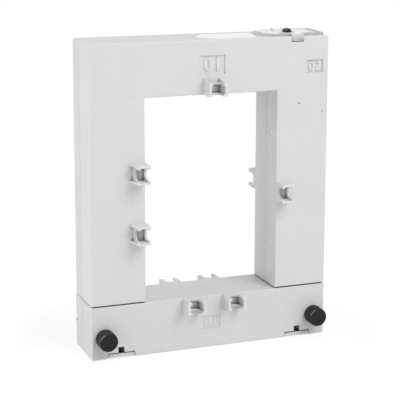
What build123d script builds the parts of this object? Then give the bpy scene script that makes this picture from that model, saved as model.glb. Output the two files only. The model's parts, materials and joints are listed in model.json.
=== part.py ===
from build123d import *
from math import cos, pi, sin
import os

# A split-core current transformer for busbars: an inverted-U housing with the coils and the U core,
# a straight base with the yoke core, and two thumb screws that hold the base on.
# Millimetres. The origin is under the middle of the base, +Z is up and the front faces -Y.
# "Left" and "right" are as seen from the front, so left is -X.

# Overall sizes
WINDOW_W = 80.0             # clear width of the busbar window
WINDOW_H = 118.0            # clear height of the busbar window
LEG_W = 32.0                # width of each leg of the housing
BEAM_H = 31.0               # height of the beam over the window
BASE_H = 31.0               # height of the base
BODY_D = 32.0               # depth of the body, without its sockets
BASE_EXTRA_D = 0.8          # the base is this much deeper than the body, at the rear
SPLIT_GAP = 0.6             # open gap between the base and the legs

# Moulded housing
WALL = 2.0                  # wall of the body shells
BASE_WALL = 2.2             # wall of the base shells
CORNER_R = 1.5              # outer corners, seen from the front
WINDOW_CORNER_R = 0.6       # corners of the window
EDGE_R = 0.7                # rounding of the front and rear edges
BASE_EDGE_R = 0.6           # the same on the base
OUTER_PARTING_Y = 3.5       # parting of the outer walls, behind the middle
INNER_PARTING_Y = -1.0      # parting of the window walls
SEAM_W = 0.3                # groove that marks the parting
SEAM_DEPTH = 0.35

# Sockets for the busbar clamp screws, each a trap for a square nut
SOCKET_PROUD = 10.0         # height over the face
SOCKET_W = 10.8             # across the two side plates
SOCKET_PLATE_T = 1.3        # side plates and webs
SOCKET_FRONT_L = 7.2        # length at the front, from the window wall
SOCKET_ROOT_L = 9.5         # length at the face
SOCKET_FLOOR = 1.2          # floor of the nut pocket over the face
CLAMP_SCREW_R = 3.3         # the open half-round seat of the clamp screw
CLAMP_SCREW_HEIGHT = 5.8    # its axis over the face
LEG_SOCKET_PITCH = 34.5     # between the two sockets of the left leg
BASE_SOCKET_PITCH = 24.6    # between the two sockets of the base
SOCKET_SINK = 0.5           # the sockets' roots go this far into the wall

# Frames sunk in the front for a marking, and their places
FRAME_DEPTH = 0.8
BASE_FRAME_DEPTH = 0.5
BEAM_FRAME_W = 15.5
BEAM_FRAME_H = 10.5
BEAM_FRAME_RISE = 16.8      # middle of the frame over the window's top
BASE_FRAME_W = 10.9
BASE_FRAME_H = 7.6
BASE_FRAME_Z = 15.1
SIDE_FRAME_W = 10.4
SIDE_FRAME_H = 7.4
SIDE_FRAME_INSET = 8.7      # middle of the frame from the outer wall
SIDE_FRAME_RISE = 13.3      # middle of the frame over the window's top

# Core
CORE_W = 10.0               # width of a core leg
CORE_BEAM_H = 10.0          # height of the core's top limb
CORE_OUTER_R = 5.0          # corners of the U core
CORE_INNER_R = 2.0
YOKE_H = 12.0
CORE_SETBACK = 6.0          # from the window wall to the core leg
CORE_TOP_SETBACK = 4.0      # from the window's top wall to the core
CORE_GAP = 0.1              # air gap at each core face
CORE_HOLE_CLEARANCE = 0.3   # around the core in the housing
YOKE_OVERHANG = 1.0         # of the yoke past the legs
YOKE_CHAMFER = 0.5
YOKE_PLAY = 0.3             # from the yoke to its guides

# Coils
BOBBIN_WALL = 0.9
BOBBIN_CLEARANCE = 0.2      # around the core leg
FLANGE_T = 1.2
FLANGE_CLEARANCE = 0.3      # from the flange to the housing's front and rear walls
FLANGE_SIDE = 4.3           # the flange past the bobbin's tube, along X
WINDING_T = 2.4
WRAP_T = 0.35
WRAP_ROOM = 1.15            # from the wrap to the housing's front and rear walls
BOBBIN_END_GAP = 1.5        # from the bobbin to the leg's floor
BOBBIN_TOP_GAP = 3.0        # from the bobbin to the core's top limb
CUSHION_T = 3.0             # foam between the core's top and the ribs
CUSHION_L = 70.0
CUSHION_X = -18.0           # middle of the foam
RIB_PITCH = 23.0            # between the ribs over the foam
RIB_T = 1.5
WIRE_R = 0.6
WIRE_PLAY = 0.3             # round a wire in its hole
WIRE_BEND_R = 2.5
LINK_RUN_RISE = 3.3         # of the linking wire over the limb's underside
LINK_CROWN = 1.0            # its rise in the middle
LEAD_BACK = 1.0             # from a terminal plate's rear edge to its lead
LEAD_START = {"left": -3.0, "right": 7.0}   # of a lead from the core leg's inner face

# Thumb screws
KNOB_R = 5.5
KNOB_PROUD = 9.0            # front of the knob over the base's face
KNOB_GAP = 0.3              # between the knob and the base
KNOB_CHAMFER = 0.6
KNURL_TEETH = 40
KNURL_DEPTH = 0.3
KNOB_SOCKET_DEPTH = 6.0     # of the stud in the knob
SCREW_INSET = 7.4           # from the base's side to the screw
SCREW_Z = 12.8
STUD_R = 2.5
STUD_NECK_R = 3.0
STUD_SHOULDER_R = 4.0
RUNNING_CLEARANCE = 0.05
SHOULDER_GAP = 0.3          # between the base's front wall and the shoulder
STUD_IN_INSERT = 7.0        # how far the stud goes into its insert
INSERT_R = 3.2
INSERT_L = 8.0
STUD_CHAMFER = 0.5
STUD_WAY_PLAY = 0.3         # round the stud's end, behind its insert
BOSS_R = 4.0
CLEAT_T = 2.4               # thickness of the tongue that the screw clamps
CLEAT_W = 8.6
CLEAT_FREE = 0.3            # play in front of and behind the tongue
CLEAT_REACH = 6.5           # of the tongue below the screw's axis
CLEAT_SLOT_PLAY = 0.3
CLEAT_TIP_FLAT = 0.4        # left of the end of each prong between its roundings
CLEAT_FRONT = 7.6           # from the base's front face to the tongue
LOCATOR_REACH = 9.0         # of the plain rear tongue below the split
LOCATOR_BACK = 7.6          # from the body's rear face to the plain tongue
SLIT_PLAY = 0.3             # around a tongue in the base's top

# Springs under the yoke
SPRING_L = 34.0
SPRING_W = 12.0
SPRING_T = 0.6
SPRING_RISE = 3.6
SPRING_X = 28.0
GUIDE_X = (10.0, 45.0)      # ribs that guide the yoke, each side

# Snap tongues of the base, in the notches at its front bottom edge
NOTCH_W = 16.5
NOTCH_H = 3.2
NOTCH_INSET = 17.3          # from the base's side to the notch's middle
TONGUE_SIDE_PLAY = 0.3
TONGUE_T = 2.2
TONGUE_LIFT = 0.3           # of the tongue over the bottom
TONGUE_SETBACK = 0.35       # of its end behind the front face
TONGUE_STEP = 0.2           # step along the end
TONGUE_STEP_H = 0.8
TONGUE_LIP = 0.9            # front and side edges of the tongue, round the hollow in its top
TONGUE_HOLLOW = 1.3         # depth of that hollow
TONGUE_ROOT = 4.4           # of the tongue behind the parting
LATCH_W = 3.8
LATCH_H = 3.2               # of the hole over the notch
HOOK_W = 5.4                # catches behind both sides of the latch box
HOOK_H = 2.0
HOOK_PLAY = 0.2             # from the hook to the latch box
LATCH_BOX_T = 1.2           # walls of the open box behind the latch hole
LATCH_BOX_D = 7.0           # its rear end, from the front face
HOOK_L = 2.4

# Terminal compartment in the beam's top right corner
TERMINAL_INSET = 19.5       # from the housing's side to the middle of the terminals and the clip tab
TERMINAL_PITCH = 18.0
POCKET_LEFT = 14.6          # pocket sides from the terminals' middle
POCKET_RIGHT = 16.6
POCKET_D = 21.6
POCKET_DEPTH = 9.0
POCKET_WALL = 1.5
BLOCK_PLAY = 0.2
BLOCK_SEAT_H = 1.6          # seat of the terminal plates over the pocket's floor
BLOCK_RIM_H = 4.0
BLOCK_RIM_T = 1.4
BARRIER_W = 6.4
BARRIER_H = 8.4             # the middle post over the pocket's floor
PLATE_T = 2.0
PLATE_PLAY = 0.2            # from a plate to the block's rim
PLATE_L = 14.0
PLATE_CHAMFER = 0.9
WASHER_T = 0.8
WASHER_W = 7.0
WASHER_PLAY = 0.2           # from the washer's lip to the screw's head
WASHER_HOLE_PLAY = 0.1
TERMINAL_SCREW_R = 2.0
TERMINAL_HEAD_R = 3.4
TERMINAL_HEAD_H = 2.2
TERMINAL_HEAD_EDGE_R = 0.7
TERMINAL_SCREW_TIP = 0.3    # from the screw's tip to the pocket's floor
TERMINAL_HOLE_PLAY = 0.3    # round the screw in the block
CROSS_L = 4.0               # cross recess of a terminal screw
CROSS_W = 1.0
CROSS_DEPTH = 1.0
WIRE_WAY_W = 4.8            # the customer's wire ways in the rear wall, one at each terminal
WIRE_WAY_DEPTH = 4.6

# Terminal cover
COVER_LEFT = 18.2           # cover sides from the terminals' middle
COVER_RIGHT = 18.5
COVER_SETBACK = 4.0         # of the cover's front and rear edges from the body's faces
COVER_CUT = 4.2             # cut of the plate's two left corners
COVER_T = 1.4
COVER_EDGE = 0.4
COVER_SINK = 0.85           # sunk middle of the plate, inside its rim
COVER_RIM_T = 1.3
COVER_SEAT_GAP = 0.1
SKIRT_T = 1.0
SKIRT_PLAY = 0.3
SKIRT_H = 1.6
TAB_W = 7.2
TAB_DROP = 2.7              # of the clip tab below the body's top
TAB_SINK = 1.4              # of the tab's seat in the face
TAB_PLAY = 0.25
TAB_FOOT = 0.45             # open gap under the tab
TAB_PROUD = 0.2
TAB_EDGE_R = 0.35
COVER_SCREW_R = 1.5
COVER_HEAD_R = 2.55
COVER_HEAD_H = 2.2
COVER_HEAD_DOME_R = 1.5
COVER_SLOT_L = 2.8
COVER_SLOT_W = 0.7
COVER_SLOT_DEPTH = 0.8
COVER_HEAD_SEAT = 0.1
COVER_SCREW_REACH = 4.0     # below the cover
COVER_INSERT_R = 2.3
COVER_INSERT_L = 5.0

# Label in the beam's top
LABEL_L = 37.6
LABEL_D = 27.0
LABEL_TIP_D = 5.0           # depth of the label's narrowed left end
LABEL_CUT_L = 7.0           # length of the cut left corners
LABEL_COVER_GAP = 1.3       # from the label's recess to the cover
LABEL_SINK = 0.9
LABEL_T = 0.2
SHEET_T = 0.5
SHEET_CHAMFER = 0.15
LABEL_PLAY = 0.2
PRY_L = 1.8                 # slot for a screwdriver at the label's left end
PRY_W = 3.2
PRY_DEPTH = 1.4

CUT = 1.0                   # how far a cutter runs past what it cuts

# Sizes that follow from those above
BODY_W = WINDOW_W + 2 * LEG_W
HALF_W = BODY_W / 2
FRONT_Y = -BODY_D / 2
REAR_Y = BODY_D / 2
BASE_REAR_Y = REAR_Y + BASE_EXTRA_D
BODY_Z = BASE_H + SPLIT_GAP
WINDOW_TOP = BASE_H + WINDOW_H
TOP_Z = WINDOW_TOP + BEAM_H
OUTER_BAND_X = HALF_W - LEG_W / 2
OUTER_BAND_Z = WINDOW_TOP + BEAM_H / 2
CORE_D = BODY_D - 2 * (WALL + WRAP_ROOM + WRAP_T + WINDING_T + BOBBIN_WALL + BOBBIN_CLEARANCE)
CORE_IN_X = WINDOW_W / 2 + WALL + CORE_SETBACK
CORE_X = CORE_IN_X + CORE_W / 2
CORE_OUT_X = CORE_IN_X + CORE_W
CORE_BEAM_Z = WINDOW_TOP + WALL + CORE_TOP_SETBACK
CORE_TOP_Z = CORE_BEAM_Z + CORE_BEAM_H
YOKE_TOP = BASE_H - BASE_WALL
YOKE_Z = YOKE_TOP - YOKE_H
YOKE_L = 2 * (CORE_OUT_X + YOKE_OVERHANG)
SCREW_X = HALF_W - SCREW_INSET
CLEAT_Y = FRONT_Y + CLEAT_FRONT
BOSS_Y = CLEAT_Y + CLEAT_T + CLEAT_FREE
LOCATOR_Y = REAR_Y - LOCATOR_BACK
NOTCH_X = HALF_W - NOTCH_INSET
POCKET_FLOOR = TOP_Z - POCKET_DEPTH
TERMINAL_X = HALF_W - TERMINAL_INSET
POCKET_X0 = TERMINAL_X - POCKET_LEFT
POCKET_X1 = TERMINAL_X + POCKET_RIGHT
SEAT_Z = POCKET_FLOOR + BLOCK_SEAT_H
PLATE_TOP = SEAT_Z + PLATE_T
WASHER_TOP = PLATE_TOP + WASHER_T
COVER_Z = TOP_Z + COVER_SEAT_GAP
COVER_TOP = COVER_Z + COVER_T
HEAD_SEAT_Z = COVER_TOP - COVER_SINK
BARRIER_TOP = POCKET_FLOOR + BARRIER_H
PLATE_W = 2 * (POCKET_LEFT - BLOCK_PLAY - BLOCK_RIM_T - PLATE_PLAY) - TERMINAL_PITCH
WASHER_HALF_L = TERMINAL_HEAD_R + WASHER_PLAY + WASHER_T
LABEL_RIGHT = TERMINAL_X - COVER_LEFT - LABEL_COVER_GAP
LABEL_LEFT = LABEL_RIGHT - LABEL_L
SIDES = {"left": -1, "right": 1}


def block(x0, x1, y0, y1, z0, z1):
    """A box between two corners."""
    return Pos((x0 + x1) / 2, (y0 + y1) / 2, (z0 + z1) / 2) * Box(x1 - x0, y1 - y0, z1 - z0)


def front_slab(profile, y0, y1):
    """A profile drawn in X and Z, as seen from the front, made solid from y0 to y1."""
    return extrude(Plane.XZ.offset(-y1) * profile, amount=y1 - y0)


def rod_y(x, z, radius, y0, y1):
    """A round rod along Y."""
    return Pos(x, (y0 + y1) / 2, z) * Rot(90, 0, 0) * Cylinder(radius, y1 - y0)


def rod_z(x, y, radius, z0, z1):
    """A round rod along Z."""
    return Pos(x, y, (z0 + z1) / 2) * Cylinder(radius, z1 - z0)


def arch_profile(inset, inner_r, outer_r):
    """The inverted U as seen from the front, with each edge moved inwards by inset."""
    height = TOP_Z - BODY_Z - 2 * inset
    outer = Pos(0, BODY_Z + inset + height / 2) * Rectangle(BODY_W - 2 * inset, height)
    outer = fillet(outer.vertices().group_by(Axis.Y)[-1], outer_r) if outer_r else outer
    window_h = WINDOW_TOP - BODY_Z
    window = Pos(0, BODY_Z + inset + window_h / 2) * Rectangle(WINDOW_W + 2 * inset, window_h)
    window = fillet(window.vertices().group_by(Axis.Y)[-1], inner_r) if inner_r else window
    return outer - window


def base_profile(inset, outer_r):
    """The base as seen from the front, with each edge moved inwards by inset."""
    shape = Pos(0, BASE_H / 2) * Rectangle(BODY_W - 2 * inset, BASE_H - 2 * inset)
    return fillet(shape.vertices(), outer_r) if outer_r else shape


def socket():
    """One nut socket: X runs away from the window, Z out of the face and Y across the side plates."""
    with BuildSketch(Plane.XZ) as side:
        with BuildLine():
            Polyline(
                (0, -SOCKET_SINK),
                (SOCKET_ROOT_L, -SOCKET_SINK),
                (SOCKET_ROOT_L, 0),
                (SOCKET_FRONT_L, SOCKET_PROUD),
                (0, SOCKET_PROUD),
                close=True,
            )
        make_face()
    body = extrude(side.sketch, amount=SOCKET_W / 2, both=True)
    half_pocket = SOCKET_W / 2 - SOCKET_PLATE_T
    far_web = SOCKET_FRONT_L - SOCKET_PLATE_T
    beyond = SOCKET_PROUD + CUT
    body -= block(SOCKET_PLATE_T, far_web, -half_pocket, half_pocket, SOCKET_FLOOR, beyond)
    body -= block(SOCKET_FRONT_L, SOCKET_ROOT_L + CUT, -half_pocket, half_pocket, 0, beyond)
    seat = Pos(SOCKET_FRONT_L / 2, 0, CLAMP_SCREW_HEIGHT) * Rot(0, 90, 0)
    body -= seat * Cylinder(CLAMP_SCREW_R, SOCKET_FRONT_L + 2 * CUT)
    body -= block(-CUT, SOCKET_FRONT_L + CUT, -CLAMP_SCREW_R, CLAMP_SCREW_R, CLAMP_SCREW_HEIGHT, beyond)
    return body


def place_socket(shape, x, z, away, front):
    """A socket on the face at a point of the window's edge; away is its direction in X and Z."""
    face_y = FRONT_Y if front else REAR_Y
    outwards = (0, -1, 0) if front else (0, 1, 0)
    return Plane(origin=(x, face_y, z), x_dir=(away[0], 0, away[1]), z_dir=outwards).location * shape


def body_sockets(front):
    """The sockets of one body shell: one over the window, two on the left and one on the right."""
    shape = socket()
    middle = BASE_H + WINDOW_H / 2
    edge = WINDOW_W / 2
    places = [
        (0, WINDOW_TOP, (0, 1)),
        (-edge, middle + LEG_SOCKET_PITCH / 2, (-1, 0)),
        (-edge, middle - LEG_SOCKET_PITCH / 2, (-1, 0)),
        (edge, middle, (1, 0)),
    ]
    return [place_socket(shape, x, z, away, front) for x, z, away in places]


def base_sockets(front):
    """The two sockets of one base shell, under the window's edge, in line with the body's."""
    shape = socket()
    x = BASE_SOCKET_PITCH / 2
    return [place_socket(shape, side * x, BASE_H, (0, -1), front) for side in SIDES.values()]


def marking_frame(x, z, width, height, depth):
    """The cutter of a shallow framed field in the front face."""
    half_w = width / 2
    half_h = height / 2
    return block(x - half_w, x + half_w, FRONT_Y - CUT, FRONT_Y + depth, z - half_h, z + half_h)


def hollow_body():
    """The whole inverted-U housing before it is parted: walls, ribs, terminal pocket and label recess."""
    outer = front_slab(arch_profile(0, WINDOW_CORNER_R, CORNER_R), FRONT_Y, REAR_Y)
    faces = outer.faces().sort_by(Axis.Y)
    outer = fillet(faces[0].edges() + faces[-1].edges(), EDGE_R)
    cavity = front_slab(arch_profile(WALL, WINDOW_CORNER_R, CORNER_R), FRONT_Y + WALL, REAR_Y - WALL)
    body = outer - cavity
    pocket_side = REAR_Y - WALL
    body += block(
        POCKET_X0 - POCKET_WALL, HALF_W - WALL, -pocket_side, pocket_side,
        POCKET_FLOOR - POCKET_WALL, TOP_Z - WALL,
    )
    body -= block(POCKET_X0, POCKET_X1, -POCKET_D / 2, POCKET_D / 2, POCKET_FLOOR, TOP_Z + CUT)
    for x in (CUSHION_X - RIB_PITCH, CUSHION_X, CUSHION_X + RIB_PITCH):
        body += block(
            x - RIB_T / 2, x + RIB_T / 2, -pocket_side, pocket_side, CORE_TOP_Z + CUSHION_T, TOP_Z - WALL
        )
    body -= label_form(0, TOP_Z - LABEL_SINK, TOP_Z + CUT)
    body -= block(LABEL_LEFT - PRY_L, LABEL_LEFT + CUT, -PRY_W / 2, PRY_W / 2, TOP_Z - PRY_DEPTH, TOP_Z + CUT)
    hole = CORE_HOLE_CLEARANCE
    lead_way = WIRE_R + WIRE_PLAY
    for side in SIDES.values():
        body -= block(
            side * CORE_X - CORE_W / 2 - hole, side * CORE_X + CORE_W / 2 + hole,
            -CORE_D / 2 - hole, CORE_D / 2 + hole, BODY_Z - CUT, BODY_Z + WALL + CUT,
        )
        plate_x = TERMINAL_X + side * TERMINAL_PITCH / 2
        body -= rod_z(plate_x, lead_y(), lead_way, POCKET_FLOOR - POCKET_WALL - CUT, POCKET_FLOOR + CUT)
        body -= wire_way_cutter(side, POCKET_D / 2 - CUT)
    for face_y in (FRONT_Y, REAR_Y):
        body -= block(
            TERMINAL_X - TAB_W / 2 - TAB_PLAY, TERMINAL_X + TAB_W / 2 + TAB_PLAY,
            face_y - TAB_SINK, face_y + TAB_SINK, TOP_Z - TAB_DROP - TAB_FOOT, TOP_Z + CUT,
        )
    return body


def label_form(margin, z0, z1):
    """The label's outline with its narrowed left end, moved inwards by margin, made solid."""
    x0 = LABEL_LEFT + margin
    x1 = LABEL_RIGHT - margin
    half = LABEL_D / 2 - margin
    tip = LABEL_TIP_D / 2 - margin
    shoulder = x0 + LABEL_CUT_L
    outline = Polygon(
        (x0, -tip), (shoulder, -half), (x1, -half), (x1, half), (shoulder, half), (x0, tip), align=None
    )
    return extrude(Pos(0, 0, z0) * outline, amount=z1 - z0)


def wire_way_cutter(side, start_y):
    """The open channel from a terminal to the rear, under the cover."""
    x = TERMINAL_X + side * TERMINAL_PITCH / 2
    half = WIRE_WAY_W / 2
    return block(x - half, x + half, start_y, REAR_Y + CUT, TOP_Z - WIRE_WAY_DEPTH, TOP_Z + COVER_SEAT_GAP)


def lead_y():
    """Where the leads rise to the terminal plates, behind the screws."""
    return PLATE_L / 2 - WIRE_R - LEAD_BACK


def in_front_of_parting(y_room):
    """The space of the front body shell: up to the parting, which is further back at the outer walls."""
    far_front = FRONT_Y - y_room
    space = block(-HALF_W - CUT, HALF_W + CUT, far_front, INNER_PARTING_Y, BODY_Z - CUT, TOP_Z + CUT)
    space += block(-HALF_W - CUT, HALF_W + CUT, far_front, OUTER_PARTING_Y, OUTER_BAND_Z, TOP_Z + CUT)
    for x0, x1 in ((-HALF_W - CUT, -OUTER_BAND_X), (OUTER_BAND_X, HALF_W + CUT)):
        space += block(x0, x1, far_front, OUTER_PARTING_Y, BODY_Z - CUT, TOP_Z + CUT)
    return space


def body_seam():
    """The cutter of the groove along the parting, in the front shell's edge."""
    skin = arch_profile(0, 0, 0) - arch_profile(SEAM_DEPTH, 0, 0)
    outer_band = Pos(0, OUTER_BAND_Z + BEAM_H / 2) * Rectangle(BODY_W + 2 * CUT, BEAM_H)
    for side in SIDES.values():
        outer_band += Pos(side * (OUTER_BAND_X + LEG_W / 2), TOP_Z / 2) * Rectangle(LEG_W, TOP_Z + 2 * CUT)
    outer = front_slab(skin & outer_band, OUTER_PARTING_Y - SEAM_W, OUTER_PARTING_Y)
    inner = front_slab(skin - outer_band, INNER_PARTING_Y - SEAM_W, INNER_PARTING_Y)
    return outer + inner


def cleat(side):
    """The front shell's tongue, open at its bottom around the thumb screw."""
    x = side * SCREW_X
    bottom = SCREW_Z - CLEAT_REACH
    slot_r = STUD_R + CLEAT_SLOT_PLAY
    shape = block(x - CLEAT_W / 2, x + CLEAT_W / 2, CLEAT_Y, CLEAT_Y + CLEAT_T, bottom, BODY_Z + WALL / 2)
    lead_in = shape.edges().filter_by(Axis.Y).sort_by(Axis.Z)[:2]
    shape = fillet(lead_in, CLEAT_W / 2 - slot_r - CLEAT_TIP_FLAT)
    shape -= rod_y(x, SCREW_Z, slot_r, CLEAT_Y - CUT, CLEAT_Y + CLEAT_T + CUT)
    shape -= block(x - slot_r, x + slot_r, CLEAT_Y - CUT, CLEAT_Y + CLEAT_T + CUT, bottom - CUT, SCREW_Z)
    return shape


def locator(side):
    """The rear shell's plain tongue, with a chamfered end."""
    x = side * SCREW_X
    bottom = BASE_H - LOCATOR_REACH
    shape = block(x - CLEAT_W / 2, x + CLEAT_W / 2, LOCATOR_Y - CLEAT_T, LOCATOR_Y, bottom, BODY_Z + WALL / 2)
    return chamfer(shape.faces().sort_by(Axis.Z)[0].edges().filter_by(Axis.Y), CLEAT_T / 2)


def body_shells():
    """The front and the rear body shell."""
    body = hollow_body()
    space = in_front_of_parting(SOCKET_PROUD)
    front = (body & space) - body_seam()
    rear = body - space
    for side in SIDES.values():
        front += cleat(side)
        rear += locator(side)
    for shape in body_sockets(True):
        front += shape
    for shape in body_sockets(False):
        rear += shape
    front -= marking_frame(0, WINDOW_TOP + BEAM_FRAME_RISE, BEAM_FRAME_W, BEAM_FRAME_H, FRAME_DEPTH)
    front -= marking_frame(
        HALF_W - SIDE_FRAME_INSET, WINDOW_TOP + SIDE_FRAME_RISE, SIDE_FRAME_W, SIDE_FRAME_H, FRAME_DEPTH
    )
    return front, rear


def hollow_base():
    """The whole base housing before it is parted, with the ways for the core and the tongues."""
    outer = front_slab(base_profile(0, EDGE_R), FRONT_Y, BASE_REAR_Y)
    faces = outer.faces().sort_by(Axis.Y)
    outer = fillet(faces[0].edges() + faces[-1].edges(), BASE_EDGE_R)
    inner_front = FRONT_Y + BASE_WALL
    inner_rear = BASE_REAR_Y - BASE_WALL
    base = outer - front_slab(base_profile(BASE_WALL, 0), inner_front, inner_rear)
    hole = CORE_HOLE_CLEARANCE
    guide_y = CORE_D / 2 + YOKE_PLAY
    spring_seat = YOKE_Z - SPRING_RISE
    for side in SIDES.values():
        for guide_x in GUIDE_X:
            x = side * guide_x
            for y0, y1 in ((inner_front, -guide_y), (guide_y, inner_rear)):
                base += block(x - RIB_T / 2, x + RIB_T / 2, y0, y1, YOKE_Z - YOKE_PLAY, YOKE_TOP)
        for end in SIDES.values():
            x = side * SPRING_X + end * (SPRING_L / 2 - RIB_T)
            base += block(x - RIB_T, x + RIB_T, inner_front, inner_rear, BASE_WALL, spring_seat)
        base -= block(
            side * CORE_X - CORE_W / 2 - hole, side * CORE_X + CORE_W / 2 + hole,
            -CORE_D / 2 - hole, CORE_D / 2 + hole, YOKE_TOP - CUT, BASE_H + CUT,
        )
        slit_x = side * SCREW_X
        half_slit = CLEAT_W / 2 + SLIT_PLAY
        for y0, y1 in ((CLEAT_Y, CLEAT_Y + CLEAT_T), (LOCATOR_Y - CLEAT_T, LOCATOR_Y)):
            base -= block(
                slit_x - half_slit, slit_x + half_slit, y0 - SLIT_PLAY, y1 + SLIT_PLAY,
                YOKE_TOP - CUT, BASE_H + CUT,
            )
    return base


def notch_cutter(side):
    """The notch in the base's front bottom edge with the latch hole over it, and the way of the tongue."""
    x = side * NOTCH_X
    cutter = block(x - NOTCH_W / 2, x + NOTCH_W / 2, FRONT_Y - CUT, OUTER_PARTING_Y + CUT, -CUT, NOTCH_H)
    cutter += block(
        x - LATCH_W / 2, x + LATCH_W / 2, FRONT_Y - CUT, FRONT_Y + LATCH_BOX_D + CUT,
        NOTCH_H - CUT, NOTCH_H + LATCH_H,
    )
    return cutter


def latch_box(side):
    """The box behind a latch hole before its opening is cut; the tongue's hook catches on its rear end."""
    x = side * NOTCH_X
    half = LATCH_W / 2 + LATCH_BOX_T
    return block(
        x - half, x + half, FRONT_Y + BASE_WALL / 2, FRONT_Y + LATCH_BOX_D,
        NOTCH_H, NOTCH_H + LATCH_H + LATCH_BOX_T,
    )


def snap_tongue(side):
    """One snap tongue of the rear base shell: a stepped bar with a hook behind the latch box."""
    x = side * NOTCH_X
    half = NOTCH_W / 2 - TONGUE_SIDE_PLAY
    end_y = FRONT_Y + TONGUE_SETBACK
    top = TONGUE_LIFT + TONGUE_T
    tongue = block(x - half, x + half, end_y, OUTER_PARTING_Y + TONGUE_ROOT, TONGUE_LIFT, top)
    tongue -= block(
        x - half - CUT, x + half + CUT, end_y - CUT, end_y + TONGUE_STEP, top - TONGUE_STEP_H, top + CUT
    )
    hook_y = FRONT_Y + LATCH_BOX_D + HOOK_PLAY
    tongue -= block(
        x - half + TONGUE_LIP, x + half - TONGUE_LIP, end_y + TONGUE_LIP, hook_y,
        top - TONGUE_HOLLOW, top + CUT,
    )
    with BuildSketch(Plane.YZ.offset(x - HOOK_W / 2)) as ramp:
        with BuildLine():
            Polyline((hook_y, top), (hook_y + HOOK_L, top), (hook_y, top + HOOK_H), close=True)
        make_face()
    return tongue + extrude(ramp.sketch, amount=HOOK_W)


def base_shells():
    """The front and the rear base shell."""
    base = hollow_base()
    front_space = block(
        -HALF_W - CUT, HALF_W + CUT, FRONT_Y - SOCKET_PROUD, OUTER_PARTING_Y, -CUT, BASE_H + CUT
    )
    skin = base_profile(0, 0) - base_profile(SEAM_DEPTH, 0)
    seam = front_slab(skin, OUTER_PARTING_Y - SEAM_W, OUTER_PARTING_Y)
    front = (base & front_space) - seam
    rear = base - front_space
    insert_y = BOSS_Y + INSERT_L
    for side in SIDES.values():
        x = side * SCREW_X
        front += latch_box(side)
        front -= notch_cutter(side)
        front -= rod_y(x, SCREW_Z, STUD_NECK_R + RUNNING_CLEARANCE, FRONT_Y - CUT, FRONT_Y + BASE_WALL + CUT)
        boss = rod_y(x, SCREW_Z, BOSS_R, BOSS_Y, BASE_REAR_Y - BASE_WALL / 2)
        wall_x = side * (HALF_W - BASE_WALL / 2)
        web = block(min(x, wall_x), max(x, wall_x), OUTER_PARTING_Y, BASE_REAR_Y - BASE_WALL / 2,
                    SCREW_Z - RIB_T / 2, SCREW_Z + RIB_T / 2)
        rear += boss + web
        rear -= rod_y(x, SCREW_Z, INSERT_R, BOSS_Y - CUT, insert_y)
        rear -= rod_y(x, SCREW_Z, STUD_R + STUD_WAY_PLAY, insert_y - CUT, insert_y + STUD_R)
        rear += snap_tongue(side)
    for shape in base_sockets(True):
        front += shape
    for shape in base_sockets(False):
        rear += shape
    front -= marking_frame(0, BASE_FRAME_Z, BASE_FRAME_W, BASE_FRAME_H, BASE_FRAME_DEPTH)
    return front, rear


def u_core():
    """The laminated U: two legs and the top limb, with its legs' ends in the base."""
    height = CORE_TOP_Z - YOKE_TOP - CORE_GAP
    outer = Pos(0, YOKE_TOP + CORE_GAP + height / 2) * Rectangle(2 * CORE_OUT_X, height)
    opening_h = CORE_BEAM_Z - YOKE_TOP - CORE_GAP
    opening = Pos(0, YOKE_TOP + CORE_GAP + opening_h / 2) * Rectangle(2 * CORE_IN_X, opening_h)
    opening = fillet(opening.vertices().group_by(Axis.Y)[-1], CORE_INNER_R)
    outer = fillet(outer.vertices().group_by(Axis.Y)[-1], CORE_OUTER_R)
    return front_slab(outer - opening, -CORE_D / 2, CORE_D / 2)


def yoke():
    """The laminated yoke in the base."""
    bar = block(-YOKE_L / 2, YOKE_L / 2, -CORE_D / 2, CORE_D / 2, YOKE_Z, YOKE_TOP)
    return chamfer(bar.edges().filter_by(Axis.Y), YOKE_CHAMFER)


def yoke_spring(side):
    """A bowed leaf spring between two ribs of the base and the yoke."""
    seat = YOKE_Z - SPRING_RISE
    x = side * SPRING_X
    half = SPRING_L / 2
    crown = YOKE_Z - seat
    with BuildSketch(Plane.XZ) as leaf:
        with BuildLine():
            low = ThreePointArc((x - half, seat), (x, seat + crown - SPRING_T), (x + half, seat))
            high = ThreePointArc((x - half, seat + SPRING_T), (x, seat + crown), (x + half, seat + SPRING_T))
            Line(low @ 0, high @ 0)
            Line(low @ 1, high @ 1)
        make_face()
    return extrude(leaf.sketch, amount=SPRING_W / 2, both=True)


def coil_sizes():
    """Half widths of the bobbin's bore and tube along X and Y, and its lower and upper end."""
    bore = (CORE_W / 2 + BOBBIN_CLEARANCE, CORE_D / 2 + BOBBIN_CLEARANCE)
    tube = (bore[0] + BOBBIN_WALL, bore[1] + BOBBIN_WALL)
    return bore, tube, BODY_Z + WALL + BOBBIN_END_GAP, CORE_BEAM_Z - BOBBIN_TOP_GAP


def bobbin(side):
    """A rectangular bobbin with two flanges round a core leg."""
    bore, tube, low, high = coil_sizes()
    x = side * CORE_X
    flange_y = REAR_Y - WALL - FLANGE_CLEARANCE
    flange_x = tube[0] + FLANGE_SIDE
    shape = block(x - tube[0], x + tube[0], -tube[1], tube[1], low, high)
    for z in (low, high - FLANGE_T):
        plate = block(x - flange_x, x + flange_x, -flange_y, flange_y, z, z + FLANGE_T)
        shape += fillet(plate.edges().filter_by(Axis.Z), FLANGE_T)
    return shape - block(x - bore[0], x + bore[0], -bore[1], bore[1], low - CUT, high + CUT)


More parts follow.
